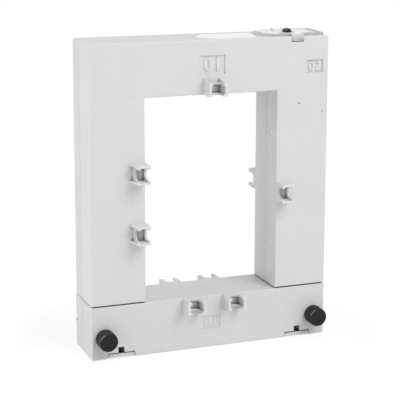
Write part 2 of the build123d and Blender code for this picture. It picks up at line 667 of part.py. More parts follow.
def coil_ring(side, inner, outer, low, high):
    """A rectangular ring with rounded corners round a bobbin, from inner to outer offset of its tube."""
    _, tube, _, _ = coil_sizes()
    x = side * CORE_X
    ring = block(x - tube[0] - outer, x + tube[0] + outer, -tube[1] - outer, tube[1] + outer, low, high)
    ring = fillet(ring.edges().filter_by(Axis.Z), outer)
    hole = block(
        x - tube[0] - inner, x + tube[0] + inner, -tube[1] - inner, tube[1] + inner, low - CUT, high + CUT
    )
    if inner:
        hole = fillet(hole.edges().filter_by(Axis.Z), inner)
    return ring - hole


def winding(side):
    """The secondary winding between the bobbin's flanges."""
    _, _, low, high = coil_sizes()
    return coil_ring(side, 0, WINDING_T, low + FLANGE_T, high - FLANGE_T)


def winding_wrap(side):
    """The insulating wrap round the winding."""
    _, _, low, high = coil_sizes()
    return coil_ring(side, WINDING_T, WINDING_T + WRAP_T, low + FLANGE_T, high - FLANGE_T)


def wire(points):
    """A round wire along straight runs and arcs."""
    path = FilletPolyline(*points, radius=WIRE_BEND_R)
    start = Plane(origin=path @ 0, z_dir=path % 0)
    return sweep(start * Circle(WIRE_R), path=path)


def link_wire():
    """The wire that joins the two windings, along the core's top limb in the beam."""
    _, _, _, high = coil_sizes()
    y = CORE_D / 2 + BOBBIN_CLEARANCE + BOBBIN_WALL + WINDING_T / 2
    x = CORE_IN_X
    run_z = CORE_BEAM_Z + LINK_RUN_RISE
    return wire([(-x, y, high), (-x, y, run_z), (0, y, run_z + LINK_CROWN), (x, y, run_z), (x, y, high)])


def lead_wire(side):
    """A lead from a winding to the underside of its terminal plate."""
    _, _, _, high = coil_sizes()
    x = TERMINAL_X + side * TERMINAL_PITCH / 2
    start_x = CORE_IN_X + LEAD_START["right" if side > 0 else "left"]
    y_low = -(CORE_D / 2 + BOBBIN_CLEARANCE + BOBBIN_WALL + WINDING_T / 2)
    y_high = lead_y()
    over_core = (CORE_TOP_Z + POCKET_FLOOR - POCKET_WALL) / 2
    return wire([
        (start_x, y_low, high), (start_x, y_low, over_core), (x, y_high, over_core), (x, y_high, SEAT_Z),
    ])


def foam_cushion():
    """The foam strip between the core's top limb and the housing's ribs."""
    half_l = CUSHION_L / 2
    half_d = CORE_D / 2
    return block(CUSHION_X - half_l, CUSHION_X + half_l, -half_d, half_d, CORE_TOP_Z, CORE_TOP_Z + CUSHION_T)


def terminal_block():
    """The insulating block in the pocket: rim, two seats and the middle post with the cover's insert."""
    x0 = POCKET_X0 + BLOCK_PLAY
    x1 = POCKET_X1 - BLOCK_PLAY
    half_d = POCKET_D / 2 - BLOCK_PLAY
    shape = block(x0, x1, -half_d, half_d, POCKET_FLOOR, POCKET_FLOOR + BLOCK_RIM_H)
    shape -= block(
        x0 + BLOCK_RIM_T, x1 - BLOCK_RIM_T, -half_d + BLOCK_RIM_T, half_d - BLOCK_RIM_T, SEAT_Z, TOP_Z
    )
    shape += block(
        TERMINAL_X - BARRIER_W / 2, TERMINAL_X + BARRIER_W / 2, -half_d + BLOCK_RIM_T,
        half_d - BLOCK_RIM_T, POCKET_FLOOR, BARRIER_TOP,
    )
    shape -= rod_z(TERMINAL_X, 0, COVER_INSERT_R, BARRIER_TOP - COVER_INSERT_L, TOP_Z)
    for side in SIDES.values():
        x = TERMINAL_X + side * TERMINAL_PITCH / 2
        shape -= rod_z(x, 0, TERMINAL_SCREW_R + TERMINAL_HOLE_PLAY, POCKET_FLOOR - CUT, TOP_Z)
        shape -= rod_z(x, lead_y(), WIRE_R + WIRE_PLAY, POCKET_FLOOR - CUT, TOP_Z)
    return shape


def terminal_plate(side):
    """A brass terminal plate with its threaded hole."""
    x = TERMINAL_X + side * TERMINAL_PITCH / 2
    plate = block(x - PLATE_W / 2, x + PLATE_W / 2, -PLATE_L / 2, PLATE_L / 2, SEAT_Z, PLATE_TOP)
    plate = chamfer(plate.edges().filter_by(Axis.Z), PLATE_CHAMFER)
    return plate - rod_z(x, 0, TERMINAL_SCREW_R + RUNNING_CLEARANCE, SEAT_Z - CUT, PLATE_TOP + CUT)


def clamp_washer(side):
    """A square clamp washer with a turned-up front edge."""
    x = TERMINAL_X + side * TERMINAL_PITCH / 2
    half = WASHER_W / 2
    lip_y = -WASHER_HALF_L
    shape = block(x - half, x + half, lip_y, WASHER_HALF_L, PLATE_TOP, WASHER_TOP)
    shape += block(x - half, x + half, lip_y, lip_y + WASHER_T, PLATE_TOP, WASHER_TOP + WASHER_T)
    return shape - rod_z(x, 0, TERMINAL_SCREW_R + WASHER_HOLE_PLAY, PLATE_TOP - CUT, WASHER_TOP + CUT)


def terminal_screw(side):
    """A pan-head terminal screw with a cross recess."""
    x = TERMINAL_X + side * TERMINAL_PITCH / 2
    top = WASHER_TOP + TERMINAL_HEAD_H
    head = rod_z(x, 0, TERMINAL_HEAD_R, WASHER_TOP, top)
    head = fillet(head.edges().group_by(Axis.Z)[-1], TERMINAL_HEAD_EDGE_R)
    shape = head + rod_z(x, 0, TERMINAL_SCREW_R, POCKET_FLOOR + TERMINAL_SCREW_TIP, WASHER_TOP)
    for length, width in ((CROSS_L, CROSS_W), (CROSS_W, CROSS_L)):
        shape -= block(x - length / 2, x + length / 2, -width / 2, width / 2, top - CROSS_DEPTH, top + CUT)
    return shape


def cover_form(margin, z0, z1):
    """The cover's outline with its cut left corners, moved inwards by margin, made solid."""
    x0 = TERMINAL_X - COVER_LEFT + margin
    x1 = TERMINAL_X + COVER_RIGHT - margin
    half_d = BODY_D / 2 - COVER_SETBACK - margin
    tip = half_d - COVER_CUT
    outline = Polygon(
        (x0, -tip), (x0 + COVER_CUT, -half_d), (x1, -half_d), (x1, half_d), (x0 + COVER_CUT, half_d), (x0, tip),
        align=None,
    )
    shape = extrude(Pos(0, 0, z0) * outline, amount=z1 - z0)
    return fillet(shape.edges().filter_by(Axis.Z), CORNER_R)


def terminal_cover():
    """The clear cover: plate with a raised rim, skirt in the pocket and a clip tab on each face."""
    half_d = BODY_D / 2 - COVER_SETBACK
    plate = cover_form(0, COVER_Z, COVER_TOP)
    plate = chamfer(plate.faces().sort_by(Axis.Z)[-1].edges(), COVER_EDGE)
    plate -= cover_form(COVER_RIM_T, HEAD_SEAT_Z, COVER_TOP + CUT)
    skirt_x0 = POCKET_X0 + SKIRT_PLAY
    skirt_x1 = POCKET_X1 - SKIRT_PLAY
    skirt_y = POCKET_D / 2 - SKIRT_PLAY
    skirt = block(skirt_x0, skirt_x1, -skirt_y, skirt_y, TOP_Z - SKIRT_H, COVER_Z)
    skirt -= block(
        skirt_x0 + SKIRT_T, skirt_x1 - SKIRT_T, -skirt_y + SKIRT_T, skirt_y - SKIRT_T,
        TOP_Z - SKIRT_H - CUT, COVER_Z,
    )
    for side in SIDES.values():
        skirt -= wire_way_cutter(side, skirt_y - SKIRT_T - CUT)
    cover = plate + skirt
    for out in SIDES.values():
        seat_y = out * (BODY_D / 2 - TAB_SINK + COVER_SEAT_GAP)
        front_y = out * (BODY_D / 2 + TAB_PROUD)
        tab = block(
            TERMINAL_X - TAB_W / 2, TERMINAL_X + TAB_W / 2, min(seat_y, front_y), max(seat_y, front_y),
            TOP_Z - TAB_DROP, COVER_TOP,
        )
        cover += fillet(tab.edges().filter_by(Axis.X).group_by(Axis.Z)[-1], TAB_EDGE_R)
        arm_y = out * (half_d - COVER_RIM_T)
        cover += block(
            TERMINAL_X - TAB_W / 2, TERMINAL_X + TAB_W / 2, min(seat_y, arm_y), max(seat_y, arm_y),
            COVER_Z, COVER_TOP,
        )
    return cover - rod_z(TERMINAL_X, 0, COVER_SCREW_R + RUNNING_CLEARANCE, COVER_Z - CUT, COVER_TOP + CUT)


def cover_screw():
    """The sealing screw: a low dome head and a plain shank in the insert."""
    seat = HEAD_SEAT_Z + COVER_HEAD_SEAT
    head = rod_z(TERMINAL_X, 0, COVER_HEAD_R, seat, seat + COVER_HEAD_H)
    head = fillet(head.edges().group_by(Axis.Z)[-1], COVER_HEAD_DOME_R)
    shape = head + rod_z(TERMINAL_X, 0, COVER_SCREW_R, COVER_Z - COVER_SCREW_REACH, seat)
    top = seat + COVER_HEAD_H
    return shape - block(
        TERMINAL_X - COVER_SLOT_L / 2, TERMINAL_X + COVER_SLOT_L / 2, -COVER_SLOT_W / 2, COVER_SLOT_W / 2,
        top - COVER_SLOT_DEPTH, top + CUT,
    )


def cover_insert():
    """The brass insert of the cover screw, in the block's post."""
    ring = rod_z(TERMINAL_X, 0, COVER_INSERT_R, BARRIER_TOP - COVER_INSERT_L, BARRIER_TOP)
    return ring - rod_z(TERMINAL_X, 0, COVER_SCREW_R + RUNNING_CLEARANCE, POCKET_FLOOR, TOP_Z)


def knob(side):
    """A knurled thumb-screw knob with a chamfered face, blind at the front."""
    x = side * SCREW_X
    teeth = []
    for i in range(2 * KNURL_TEETH):
        radius = KNOB_R if i % 2 else KNOB_R - KNURL_DEPTH
        angle = i * pi / KNURL_TEETH
        teeth.append((radius * cos(angle), radius * sin(angle)))
    length = KNOB_PROUD - KNOB_GAP
    prism = extrude(Polygon(*teeth, align=None), amount=length)
    form = Pos(0, 0, length / 2) * Cylinder(KNOB_R, length)
    shape = prism & chamfer(form.edges().filter_by(GeomType.CIRCLE), KNOB_CHAMFER)
    shape -= Pos(0, 0, KNOB_SOCKET_DEPTH / 2) * Cylinder(STUD_R, KNOB_SOCKET_DEPTH)
    place = Plane(origin=(x, FRONT_Y - KNOB_GAP, SCREW_Z), x_dir=(1, 0, 0), z_dir=(0, -1, 0))
    return place.location * shape


def stud(side):
    """The steel stud: end in the knob, neck in the base's wall, shoulder behind it and the threaded end."""
    x = side * SCREW_X
    back_of_wall = FRONT_Y + BASE_WALL
    shape = rod_y(x, SCREW_Z, STUD_R, FRONT_Y - KNOB_GAP - KNOB_SOCKET_DEPTH, FRONT_Y - KNOB_GAP)
    shape += rod_y(x, SCREW_Z, STUD_NECK_R, FRONT_Y - KNOB_GAP, back_of_wall + SHOULDER_GAP)
    shape += rod_y(x, SCREW_Z, STUD_SHOULDER_R, back_of_wall + SHOULDER_GAP, CLEAT_Y - CLEAT_FREE)
    shape += rod_y(x, SCREW_Z, STUD_R, CLEAT_Y - CLEAT_FREE, BOSS_Y + STUD_IN_INSERT)
    tip = shape.edges().filter_by(GeomType.CIRCLE).sort_by(Axis.Y)[-1]
    return chamfer(tip, STUD_CHAMFER)


def stud_insert(side):
    """The brass insert of a thumb screw, in the rear shell's boss."""
    x = side * SCREW_X
    ring = rod_y(x, SCREW_Z, INSERT_R, BOSS_Y, BOSS_Y + INSERT_L)
    return ring - rod_y(x, SCREW_Z, STUD_R + RUNNING_CLEARANCE, BOSS_Y - CUT, BOSS_Y + INSERT_L + CUT)


def label():
    """The blank white rating label."""
    low = TOP_Z - LABEL_SINK
    return label_form(LABEL_PLAY, low, low + LABEL_T)


def label_sheet():
    """The clear sheet over the label."""
    low = TOP_Z - LABEL_SINK + LABEL_T
    sheet = label_form(LABEL_PLAY, low, low + SHEET_T)
    return chamfer(sheet.faces().sort_by(Axis.Z)[-1].edges(), SHEET_CHAMFER)


def all_parts():
    """Every piece by its node's name."""
    front, rear = body_shells()
    base_front, base_rear = base_shells()
    parts = {
        "body_front_shell": front,
        "body_rear_shell": rear,
        "base_front_shell": base_front,
        "base_rear_shell": base_rear,
        "u_core": u_core(),
        "yoke_core": yoke(),
        "winding_link_wire": link_wire(),
        "core_foam_strip": foam_cushion(),
        "terminal_block": terminal_block(),
        "terminal_cover": terminal_cover(),
        "cover_screw": cover_screw(),
        "cover_screw_insert": cover_insert(),
        "rating_label": label(),
        "label_window": label_sheet(),
    }
    pairs = {
        "yoke_spring": yoke_spring,
        "bobbin": bobbin,
        "winding": winding,
        "winding_wrap": winding_wrap,
        "lead_wire": lead_wire,
        "terminal_plate": terminal_plate,
        "clamp_washer": clamp_washer,
        "terminal_screw": terminal_screw,
        "thumb_knob": knob,
        "thumb_stud": stud,
        "stud_insert": stud_insert,
    }
    for name, make in pairs.items():
        for side_name, side in SIDES.items():
            parts[f"{name}_{side_name}"] = make(side)
    return parts


os.makedirs("parts", exist_ok=True)
for node, shape in all_parts().items():
    export_step(shape, f"parts/{node}.step")
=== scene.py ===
"""Dresses the split-core current transformer: grey housing, coils, cores, terminals, label and thumb screws.

Everything is in metres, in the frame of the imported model: the origin lies under the middle of the base, +Z is
up, the front faces -Y, and left and right are as seen from the front.
"""

import json
import logging
import math
from abc import ABC, abstractmethod
from collections.abc import Iterable
from dataclasses import dataclass
from enum import Enum
from typing import Any

import bmesh
import bpy
from mathutils import Matrix, Vector

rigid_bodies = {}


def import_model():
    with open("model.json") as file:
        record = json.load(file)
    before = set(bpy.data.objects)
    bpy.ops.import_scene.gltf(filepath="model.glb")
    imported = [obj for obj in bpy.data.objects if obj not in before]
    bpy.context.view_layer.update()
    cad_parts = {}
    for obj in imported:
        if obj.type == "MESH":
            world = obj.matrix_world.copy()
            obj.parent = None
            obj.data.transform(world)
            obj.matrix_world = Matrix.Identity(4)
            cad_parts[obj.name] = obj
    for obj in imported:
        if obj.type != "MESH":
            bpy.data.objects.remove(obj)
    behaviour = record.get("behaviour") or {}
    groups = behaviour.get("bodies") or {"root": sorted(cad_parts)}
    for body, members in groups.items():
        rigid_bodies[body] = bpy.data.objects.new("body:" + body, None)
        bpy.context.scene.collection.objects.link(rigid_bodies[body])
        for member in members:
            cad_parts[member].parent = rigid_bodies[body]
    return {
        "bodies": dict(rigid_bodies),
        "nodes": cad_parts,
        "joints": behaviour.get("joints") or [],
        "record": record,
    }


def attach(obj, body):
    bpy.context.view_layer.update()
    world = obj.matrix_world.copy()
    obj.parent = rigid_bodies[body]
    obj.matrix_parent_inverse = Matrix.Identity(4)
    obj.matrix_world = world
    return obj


LOG = logging.getLogger("current_transformer")
MM = 0.001
FRONT_Y = -16.0 * MM
PLASTIC_IOR = 1.49
BEVEL_SAMPLES = 6
OPENNESS_SAMPLES = 8
FLAT_TO_CORNER = (0.995, 0.8)
GRAIN_RANGE = (0.2, 0.8)
MARK_RANGE = (0.3, 0.7)
MARK_SEGMENTS = 40
NUMERAL_SHARE = 0.73
NUMERAL_SPACING = 1.1
NUMERAL_STEPS = 6
MERGE_GAP = 0.001 * MM
CORNER_ANGLE = 0.5

Colour = tuple[float, float, float]
Point = tuple[float, float, float]
Range = tuple[float, float]
Feed = Any
BRASS: Colour = (0.72, 0.52, 0.20)
LEFTWARDS: Point = (-1.0, 0.0, 0.0)
UPWARDS: Point = (0.0, 0.0, 1.0)


class Side(Enum):
    """The two sides, as seen from the front."""

    LEFT = -1
    RIGHT = 1

    def of(self, stem: str) -> str:
        """The name of this side's node or piece."""
        return f"{stem}_{self.name.lower()}"


class Axis(Enum):
    """The axes of the frame, by their index."""

    X = 0
    Y = 1
    Z = 2

    def unit(self, sign: float = 1.0) -> Vector:
        """The unit vector along this axis, or against it."""
        return Vector(sign if i == self.value else 0.0 for i in range(3))


class Graph:
    """A tree of nodes while it is put together."""

    def __init__(self, tree: bpy.types.NodeTree) -> None:
        """Takes over a tree.

        Args:
            tree: The tree of a material or of the world.
        """
        self.nodes = tree.nodes
        self.links = tree.links

    def feed(self, socket: bpy.types.NodeSocket, value: Feed) -> None:
        """Gives a socket a link or a plain value.

        Args:
            socket: The input socket.
            value: An output socket, a number or a tuple.
        """
        if isinstance(value, bpy.types.NodeSocket):
            self.links.new(value, socket)
        else:
            socket.default_value = value

    def add(self, kind: str, inputs: dict[str | int, Feed] | None = None, **settings: Any) -> bpy.types.Node:
        """Adds a node.

        Args:
            kind: The node's type.
            inputs: Values or links by the input's name or index.
            settings: The node's own properties.

        Returns:
            The new node.
        """
        node = self.nodes.new(kind)
        for key, value in settings.items():
            setattr(node, key, value)
        for key, value in (inputs or {}).items():
            self.feed(node.inputs[key], value)
        return node

    def maths(self, operation: str, *values: Feed) -> bpy.types.NodeSocket:
        """The result of one calculation on one to three values."""
        return self.add("ShaderNodeMath", dict(enumerate(values)), operation=operation).outputs[0]

    def spread(
        self, value: Feed, low: float, high: float, to_low: float = 0.0, to_high: float = 1.0
    ) -> bpy.types.NodeSocket:
        """A value moved smoothly from one range to another, and held at its ends."""
        inputs = {"Value": value, "From Min": low, "From Max": high, "To Min": to_low, "To Max": to_high}
        return self.add("ShaderNodeMapRange", inputs, interpolation_type="SMOOTHSTEP").outputs["Result"]

    def seen(self) -> bpy.types.NodeSocket:
        """Whether a ray is the camera's, a reflection or a view through a clear piece.

        Returns:
            1 for such a ray, or else 0.
        """
        rays = self.add("ShaderNodeLightPath").outputs
        shown = self.maths("MAXIMUM", rays["Is Camera Ray"], rays["Is Glossy Ray"])
        return self.maths("MAXIMUM", shown, rays["Is Transmission Ray"])


class Shader(Graph):
    """One material while it is put together, with its main surface node."""

    def __init__(self, name: str) -> None:
        """Starts a material with a plain surface.

        Args:
            name: The material's name.
        """
        self.material = bpy.data.materials.new(name)
        self.material.use_nodes = True
        super().__init__(self.material.node_tree)
        self.nodes.clear()
        self.surface = self.nodes.new("ShaderNodeBsdfPrincipled")
        output = self.nodes.new("ShaderNodeOutputMaterial")
        self.links.new(self.surface.outputs["BSDF"], output.inputs["Surface"])
        self.place = self.nodes.new("ShaderNodeTexCoord").outputs["Object"]

    def finish(self, **values: Feed) -> None:
        """Feeds the surface node.

        Args:
            values: Its inputs, with underscores for the blanks in their names.
        """
        for key, value in values.items():
            self.feed(self.surface.inputs[key.replace("_", " ")], value)

    def mix(self, share: Feed, first: Feed, second: Feed) -> bpy.types.NodeSocket:
        """A colour between two others.

        Args:
            share: How much of the second colour, 0 to 1.
            first: A colour of three numbers, or a link.
            second: A colour of three numbers, or a link.

        Returns:
            The mixed colour.
        """
        node = self.add("ShaderNodeMix", {0: share}, data_type="RGBA")
        for index, value in ((6, first), (7, second)):
            self.feed(node.inputs[index], (*value, 1.0) if isinstance(value, tuple) else value)
        return node.outputs[2]

    def clouded(self, clouds: Feed, colour: Colour, low: float, high: float) -> bpy.types.NodeSocket:
        """A colour that varies with a pattern.

        Args:
            clouds: The pattern, 0 to 1.
            colour: The colour.
            low: Its shade where the pattern is 0.
            high: Its shade where the pattern is 1.

        Returns:
            The varied colour.
        """
        return self.mix(clouds, shade(colour, low), shade(colour, high))

    def scaled(self, colour: Feed, factor: Feed) -> bpy.types.NodeSocket:
        """A colour made paler or darker by a factor."""
        return self.add("ShaderNodeVectorMath", {0: colour, "Scale": factor}, operation="SCALE").outputs[0]

    def noise(
        self, size: float, detail: float = 2.0, stretch: Point = (1.0, 1.0, 1.0)
    ) -> bpy.types.NodeSocket:
        """Cloudy noise over the piece.

        Args:
            size: The size of its patches.
            detail: How many finer layers it has.
            stretch: How much finer the patches are along each axis.

        Returns:
            The noise, about 0.5 on average.
        """
        scale = tuple(s / size for s in stretch)
        mapping = self.add("ShaderNodeMapping", {"Vector": self.place, "Scale": scale})
        inputs = {"Vector": mapping.outputs["Vector"], "Scale": 1.0, "Detail": detail}
        return self.add("ShaderNodeTexNoise", inputs).outputs["Fac"]

    def coordinate(self, axis: Axis) -> bpy.types.NodeSocket:
        """The place along one axis."""
        return self.add("ShaderNodeSeparateXYZ", {0: self.place}).outputs[axis.value]

    def off(self, axis: Axis, place: float = 0.0) -> bpy.types.NodeSocket:
        """How far a place lies from a plane across an axis, on either side of it."""
        return self.maths("ABSOLUTE", self.maths("SUBTRACT", self.coordinate(axis), place))

    def ripple(self, axis: Axis, pitch: float) -> bpy.types.NodeSocket:
        """Even ridges across an axis, from 0 in the furrows to 1 on the crests."""
        wave = self.maths("SINE", self.maths("MULTIPLY", self.coordinate(axis), math.tau / pitch))
        return self.maths("MULTIPLY_ADD", wave, 0.5, 0.5)

    def rounded(self, radius: float) -> bpy.types.NodeSocket:
        """The surface's direction with its edges rounded off."""
        return self.add("ShaderNodeBevel", {"Radius": radius}, samples=BEVEL_SAMPLES).outputs["Normal"]

    def edge(self, rounded: bpy.types.NodeSocket) -> bpy.types.NodeSocket:
        """How much a place belongs to an edge, from 0 on a flat to 1 on a sharp corner."""
        true = self.add("ShaderNodeNewGeometry").outputs["Normal"]
        return self.spread(self.along(rounded, true), *FLAT_TO_CORNER)

    def along(self, first: Feed, second: Feed) -> bpy.types.NodeSocket:
        """The cosine of the angle between two directions."""
        node = self.add("ShaderNodeVectorMath", {0: first, 1: second}, operation="DOT_PRODUCT")
        return node.outputs["Value"]

    def recess(self, reach: float, outer: float, inner: float) -> bpy.types.NodeSocket:
        """How deep a place lies in a narrow hollow, from 0 in the open or in a plain corner to 1 at its foot.

        Args:
            reach: The width of the widest hollow that counts.
            outer: The open share of the sky over a place that counts as 0.
            inner: The open share that counts as 1.

        Returns:
            The depth.
        """
        sky = self.add("ShaderNodeAmbientOcclusion", {"Distance": reach}, samples=OPENNESS_SAMPLES)
        return self.spread(sky.outputs["AO"], outer, inner)

    def turned_to(self, towards: Point, low: float, high: float) -> bpy.types.NodeSocket:
        """How much a place of the unturned piece is turned to one side.

        Args:
            towards: The side's direction.
            low: The cosine of the angle to it that gives 0.
            high: The cosine that gives 1.

        Returns:
            The share.
        """
        lie = self.add("ShaderNodeTexCoord").outputs["Normal"]
        return self.spread(self.along(lie, tuple(Vector(towards).normalized())), low, high)

    def relief(self, height: Feed, depth: float, under: bpy.types.NodeSocket | None = None) -> Feed:
        """Raises a pattern on the surface.

        Args:
            height: The pattern, 0 to 1.
            depth: The height of its crests.
            under: The direction of the surface that it lies on.

        Returns:
            The new direction of the surface.
        """
        inputs = {"Height": height, "Distance": depth, "Strength": 1.0}
        if under is not None:
            inputs["Normal"] = under
        return self.add("ShaderNodeBump", inputs).outputs["Normal"]


def shade(colour: Colour, factor: float) -> Colour:
    """A colour made darker or lighter by a factor."""
    return tuple(min(1.0, c * factor) for c in colour)


class Finish(ABC):
    """A surface's finish, of which materials are made."""

    def material(self, name: str) -> bpy.types.Material:
        """Makes a material of this finish.

        Args:
            name: Its name.

        Returns:
            The material.
        """
        make = Shader(name)
        self.lay(make)
        return make.material

    @abstractmethod
    def lay(self, make: Shader) -> None:
        """Lays this finish on a new material.

        Args:
            make: The material.
        """


@dataclass(frozen=True)
class Speck:
    """A small dark fleck in the moulding."""

    place: Point
    radius: float


@dataclass(frozen=True)
class MouldedFinish(Finish):
    """Moulded plastic from a fine-eroded tool: grain, flow clouding, softened edges and stray flecks.

    Narrow hollows get painted shade, but for places near the floor, in the parting lines or turned to the left.
    So do places beyond `covered_beyond` that look up at the body's legs close over them. The edges and the tips
    of the sockets get a painted highlight, and the outer sides are made paler as painted light.
    """

    colour: Colour
    roughness: float = 0.52
    roughness_swing: float = 0.05
    grain: float = 0.55 * MM
    grain_depth: float = 0.010 * MM
    pepper: float = 0.44 * MM
    pepper_range: Range = (0.33, 0.24)
    pepper_share: float = 0.4
    pepper_shade: float = 0.8
    flow: float = 14.0 * MM
    flow_stretch: Point = (1.0, 1.0, 0.45)
    flow_depth: float = 0.020 * MM
    clouding: float = 0.018
    edge_radius: float = 0.22 * MM
    edge_highlight: float = 0.8
    edge_highlight_tone: float = 1.3
    recess_reach: float = 9.0 * MM
    recess_open: Range = (0.54, 0.18)
    recess_share: float = 0.82
    recess_shade: float = 0.18
    lit_cosines: Range = (0.7, 0.95)
    floor_fade: Range = (0.4 * MM, 1.0 * MM)
    seams: tuple[float, ...] = (3.35 * MM, -1.15 * MM)
    seam_room: Range = (0.2 * MM, 0.3 * MM)
    covered_beyond: float | None = None
    covered_reach: float = 1.5 * MM
    covered_open: Range = (0.75, 0.45)
    covered_cosines: Range = (0.5, 0.9)
    outer_side: float = 71.5 * MM
    side_painted_light: float = 1.0
    tips: Range = (24.4 * MM, 25.6 * MM)
    tip_painted_highlight: float = 1.07
    flecks: tuple[Speck, ...] = ()
    fleck_colour: Colour = (0.03, 0.028, 0.028)
    fleck_rim: Range = (1.6, 0.9)

    def lay(self, make: Shader) -> None:
        """Lays this finish on a new material.

        Args:
            make: The material.
        """
        clouds = make.noise(self.flow, 3.0, self.flow_stretch)
        rounded = make.rounded(self.edge_radius)
        colour = self.speckled(make, clouds, make.edge(rounded))
        # Painted shade: the colour darkens in narrow hollows and in the gap under the body's legs.
        colour = make.mix(self.depth(make), colour, shade(self.colour, self.recess_shade))
        # Painted light: the outer sides and the sockets' tips are made paler.
        colour = make.scaled(colour, self.painted_light(make))
        grain = make.noise(self.grain)
        direction = make.relief(clouds, self.flow_depth, rounded)
        direction = make.relief(grain, self.grain_depth, direction)
        smooth, rough = self.roughness - self.roughness_swing, self.roughness + self.roughness_swing
        roughness = make.spread(grain, *GRAIN_RANGE, smooth, rough)
        make.finish(Base_Color=colour, Roughness=roughness, Normal=direction, IOR=PLASTIC_IOR)

    def speckled(self, make: Shader, clouds: Feed, edge: Feed) -> Feed:
        """The plastic's colour with its clouds, grain specks, painted highlight on the edges, and flecks.

        Args:
            make: The material.
            clouds: The clouds of its flow.
            edge: How much a place belongs to an edge.

        Returns:
            The colour.
        """
        colour = make.clouded(clouds, self.colour, 1 - self.clouding, 1 + self.clouding)
        pepper = make.spread(make.noise(self.pepper, 1.0), *self.pepper_range)
        share = make.maths("MULTIPLY", pepper, self.pepper_share)
        colour = make.mix(share, colour, shade(self.colour, self.pepper_shade))
        # Painted highlight: the edges are made paler.
        highlit_edge = make.maths("MULTIPLY", edge, self.edge_highlight)
        colour = make.mix(highlit_edge, colour, shade(self.colour, self.edge_highlight_tone))
        outer, inner = self.fleck_rim
        for fleck in self.flecks:
            far = make.add("ShaderNodeVectorMath", {0: make.place, 1: fleck.place}, operation="DISTANCE")
            bumps = make.noise(fleck.radius)
            ragged = make.maths("MULTIPLY_ADD", bumps, fleck.radius, far.outputs["Value"])
            hit = make.spread(ragged, fleck.radius * outer, fleck.radius * inner)
            colour = make.mix(hit, colour, self.fleck_colour)
        return colour

    def depth(self, make: Shader) -> Feed:
        """How much painted shade a place gets in a narrow hollow or in the gap under the legs.

        Args:
            make: The material.

        Returns:
            The shade, 0 to 1.
        """
        hollow = make.recess(self.recess_reach, *self.recess_open)
        hollow = make.maths("MULTIPLY", hollow, make.spread(make.coordinate(Axis.Z), *self.floor_fade))
        for seam in self.seams:
            hollow = make.maths("MULTIPLY", hollow, make.spread(make.off(Axis.Y, seam), *self.seam_room))
        lit = make.turned_to(LEFTWARDS, *self.lit_cosines)
        deep = make.maths("MULTIPLY", hollow, make.spread(lit, 0.0, 1.0, self.recess_share, 0.0))
        if self.covered_beyond is None:
            return deep
        beyond = make.maths("GREATER_THAN", make.off(Axis.X), self.covered_beyond)
        level = make.maths("MULTIPLY", beyond, make.turned_to(UPWARDS, *self.covered_cosines))
        under = make.maths("MULTIPLY", level, make.recess(self.covered_reach, *self.covered_open))
        return make.maths("MAXIMUM", deep, make.maths("MULTIPLY", under, self.recess_share))

    def painted_light(self, make: Shader) -> Feed:
        """How much paler a place is painted, as painted light on the outer sides and a painted highlight on a
        socket's tip.

        Args:
            make: The material.

        Returns:
            The factor.
        """
        outer = make.maths("GREATER_THAN", make.off(Axis.X), self.outer_side)
        side = make.spread(outer, 0.0, 1.0, 1.0, self.side_painted_light)
        tip = make.spread(make.off(Axis.Y), *self.tips, 1.0, self.tip_painted_highlight)
        return make.maths("MULTIPLY", side, tip)


@dataclass(frozen=True)
class LaminatedFinish(Finish):
    """A stack of thin electrical sheets: dark joints across the stack, ground and faintly oiled faces."""

    colour: Colour = (0.30, 0.31, 0.33)
    joint_colour: Colour = (0.07, 0.07, 0.075)
    joint_range: Range = (0.22, 0.04)
    rust_colour: Colour = (0.20, 0.11, 0.06)
    rust: float = 4.0 * MM
    rust_range: Range = (0.62, 0.78)
    rust_share: float = 0.6
    stack: Axis = Axis.Y
    sheet: float = 0.5 * MM
    sheet_depth: float = 0.03 * MM
    edge_radius: float = 0.3 * MM
    scratch: float = 0.3 * MM
    scratch_stretch: Point = (0.05, 1.0, 0.05)
    roughness: Range = (0.32, 0.54)

    def lay(self, make: Shader) -> None:
        """Lays this finish on a new material.

        Args:
            make: The material.
        """
        ridges = make.ripple(self.stack, self.sheet)
        colour = make.mix(make.spread(ridges, *self.joint_range), self.colour, self.joint_colour)
        rust = make.spread(make.noise(self.rust, 4.0), *self.rust_range)
        colour = make.mix(make.maths("MULTIPLY", rust, self.rust_share), colour, self.rust_colour)
        scratches = make.noise(self.scratch, 2.0, self.scratch_stretch)
        direction = make.relief(ridges, self.sheet_depth, make.rounded(self.edge_radius))
        roughness = make.spread(scratches, *MARK_RANGE, *self.roughness)
        make.finish(Base_Color=colour, Roughness=roughness, Normal=direction, Metallic=1.0)


@dataclass(frozen=True)
class WoundFinish(Finish):
    """Close turns of enamelled copper wire, laid side by side along an axis."""

    colour: Colour = (0.58, 0.22, 0.09)
    patch: float = 3.0 * MM
    patch_shades: Range = (0.8, 1.2)
    gap_range: Range = (0.3, 0.0)
    gap_shade: float = 0.25
    turns_along: Axis = Axis.Z
    wire: float = 0.8 * MM
    wire_depth: float = 0.25 * MM
    roughness: float = 0.28
    metallic: float = 0.85
    enamel: float = 0.6
    enamel_roughness: float = 0.15

    def lay(self, make: Shader) -> None:
        """Lays this finish on a new material.

        Args:
            make: The material.
        """
        turns = make.ripple(self.turns_along, self.wire)
        colour = make.clouded(make.noise(self.patch, 3.0), self.colour, *self.patch_shades)
        # Painted shade: the colour darkens in the furrows between the turns.
        colour = make.mix(make.spread(turns, *self.gap_range), colour, shade(self.colour, self.gap_shade))
        direction = make.relief(turns, self.wire_depth)
        make.finish(
            Base_Color=colour, Roughness=self.roughness, Normal=direction, Metallic=self.metallic,
            Coat_Weight=self.enamel, Coat_Roughness=self.enamel_roughness,
        )


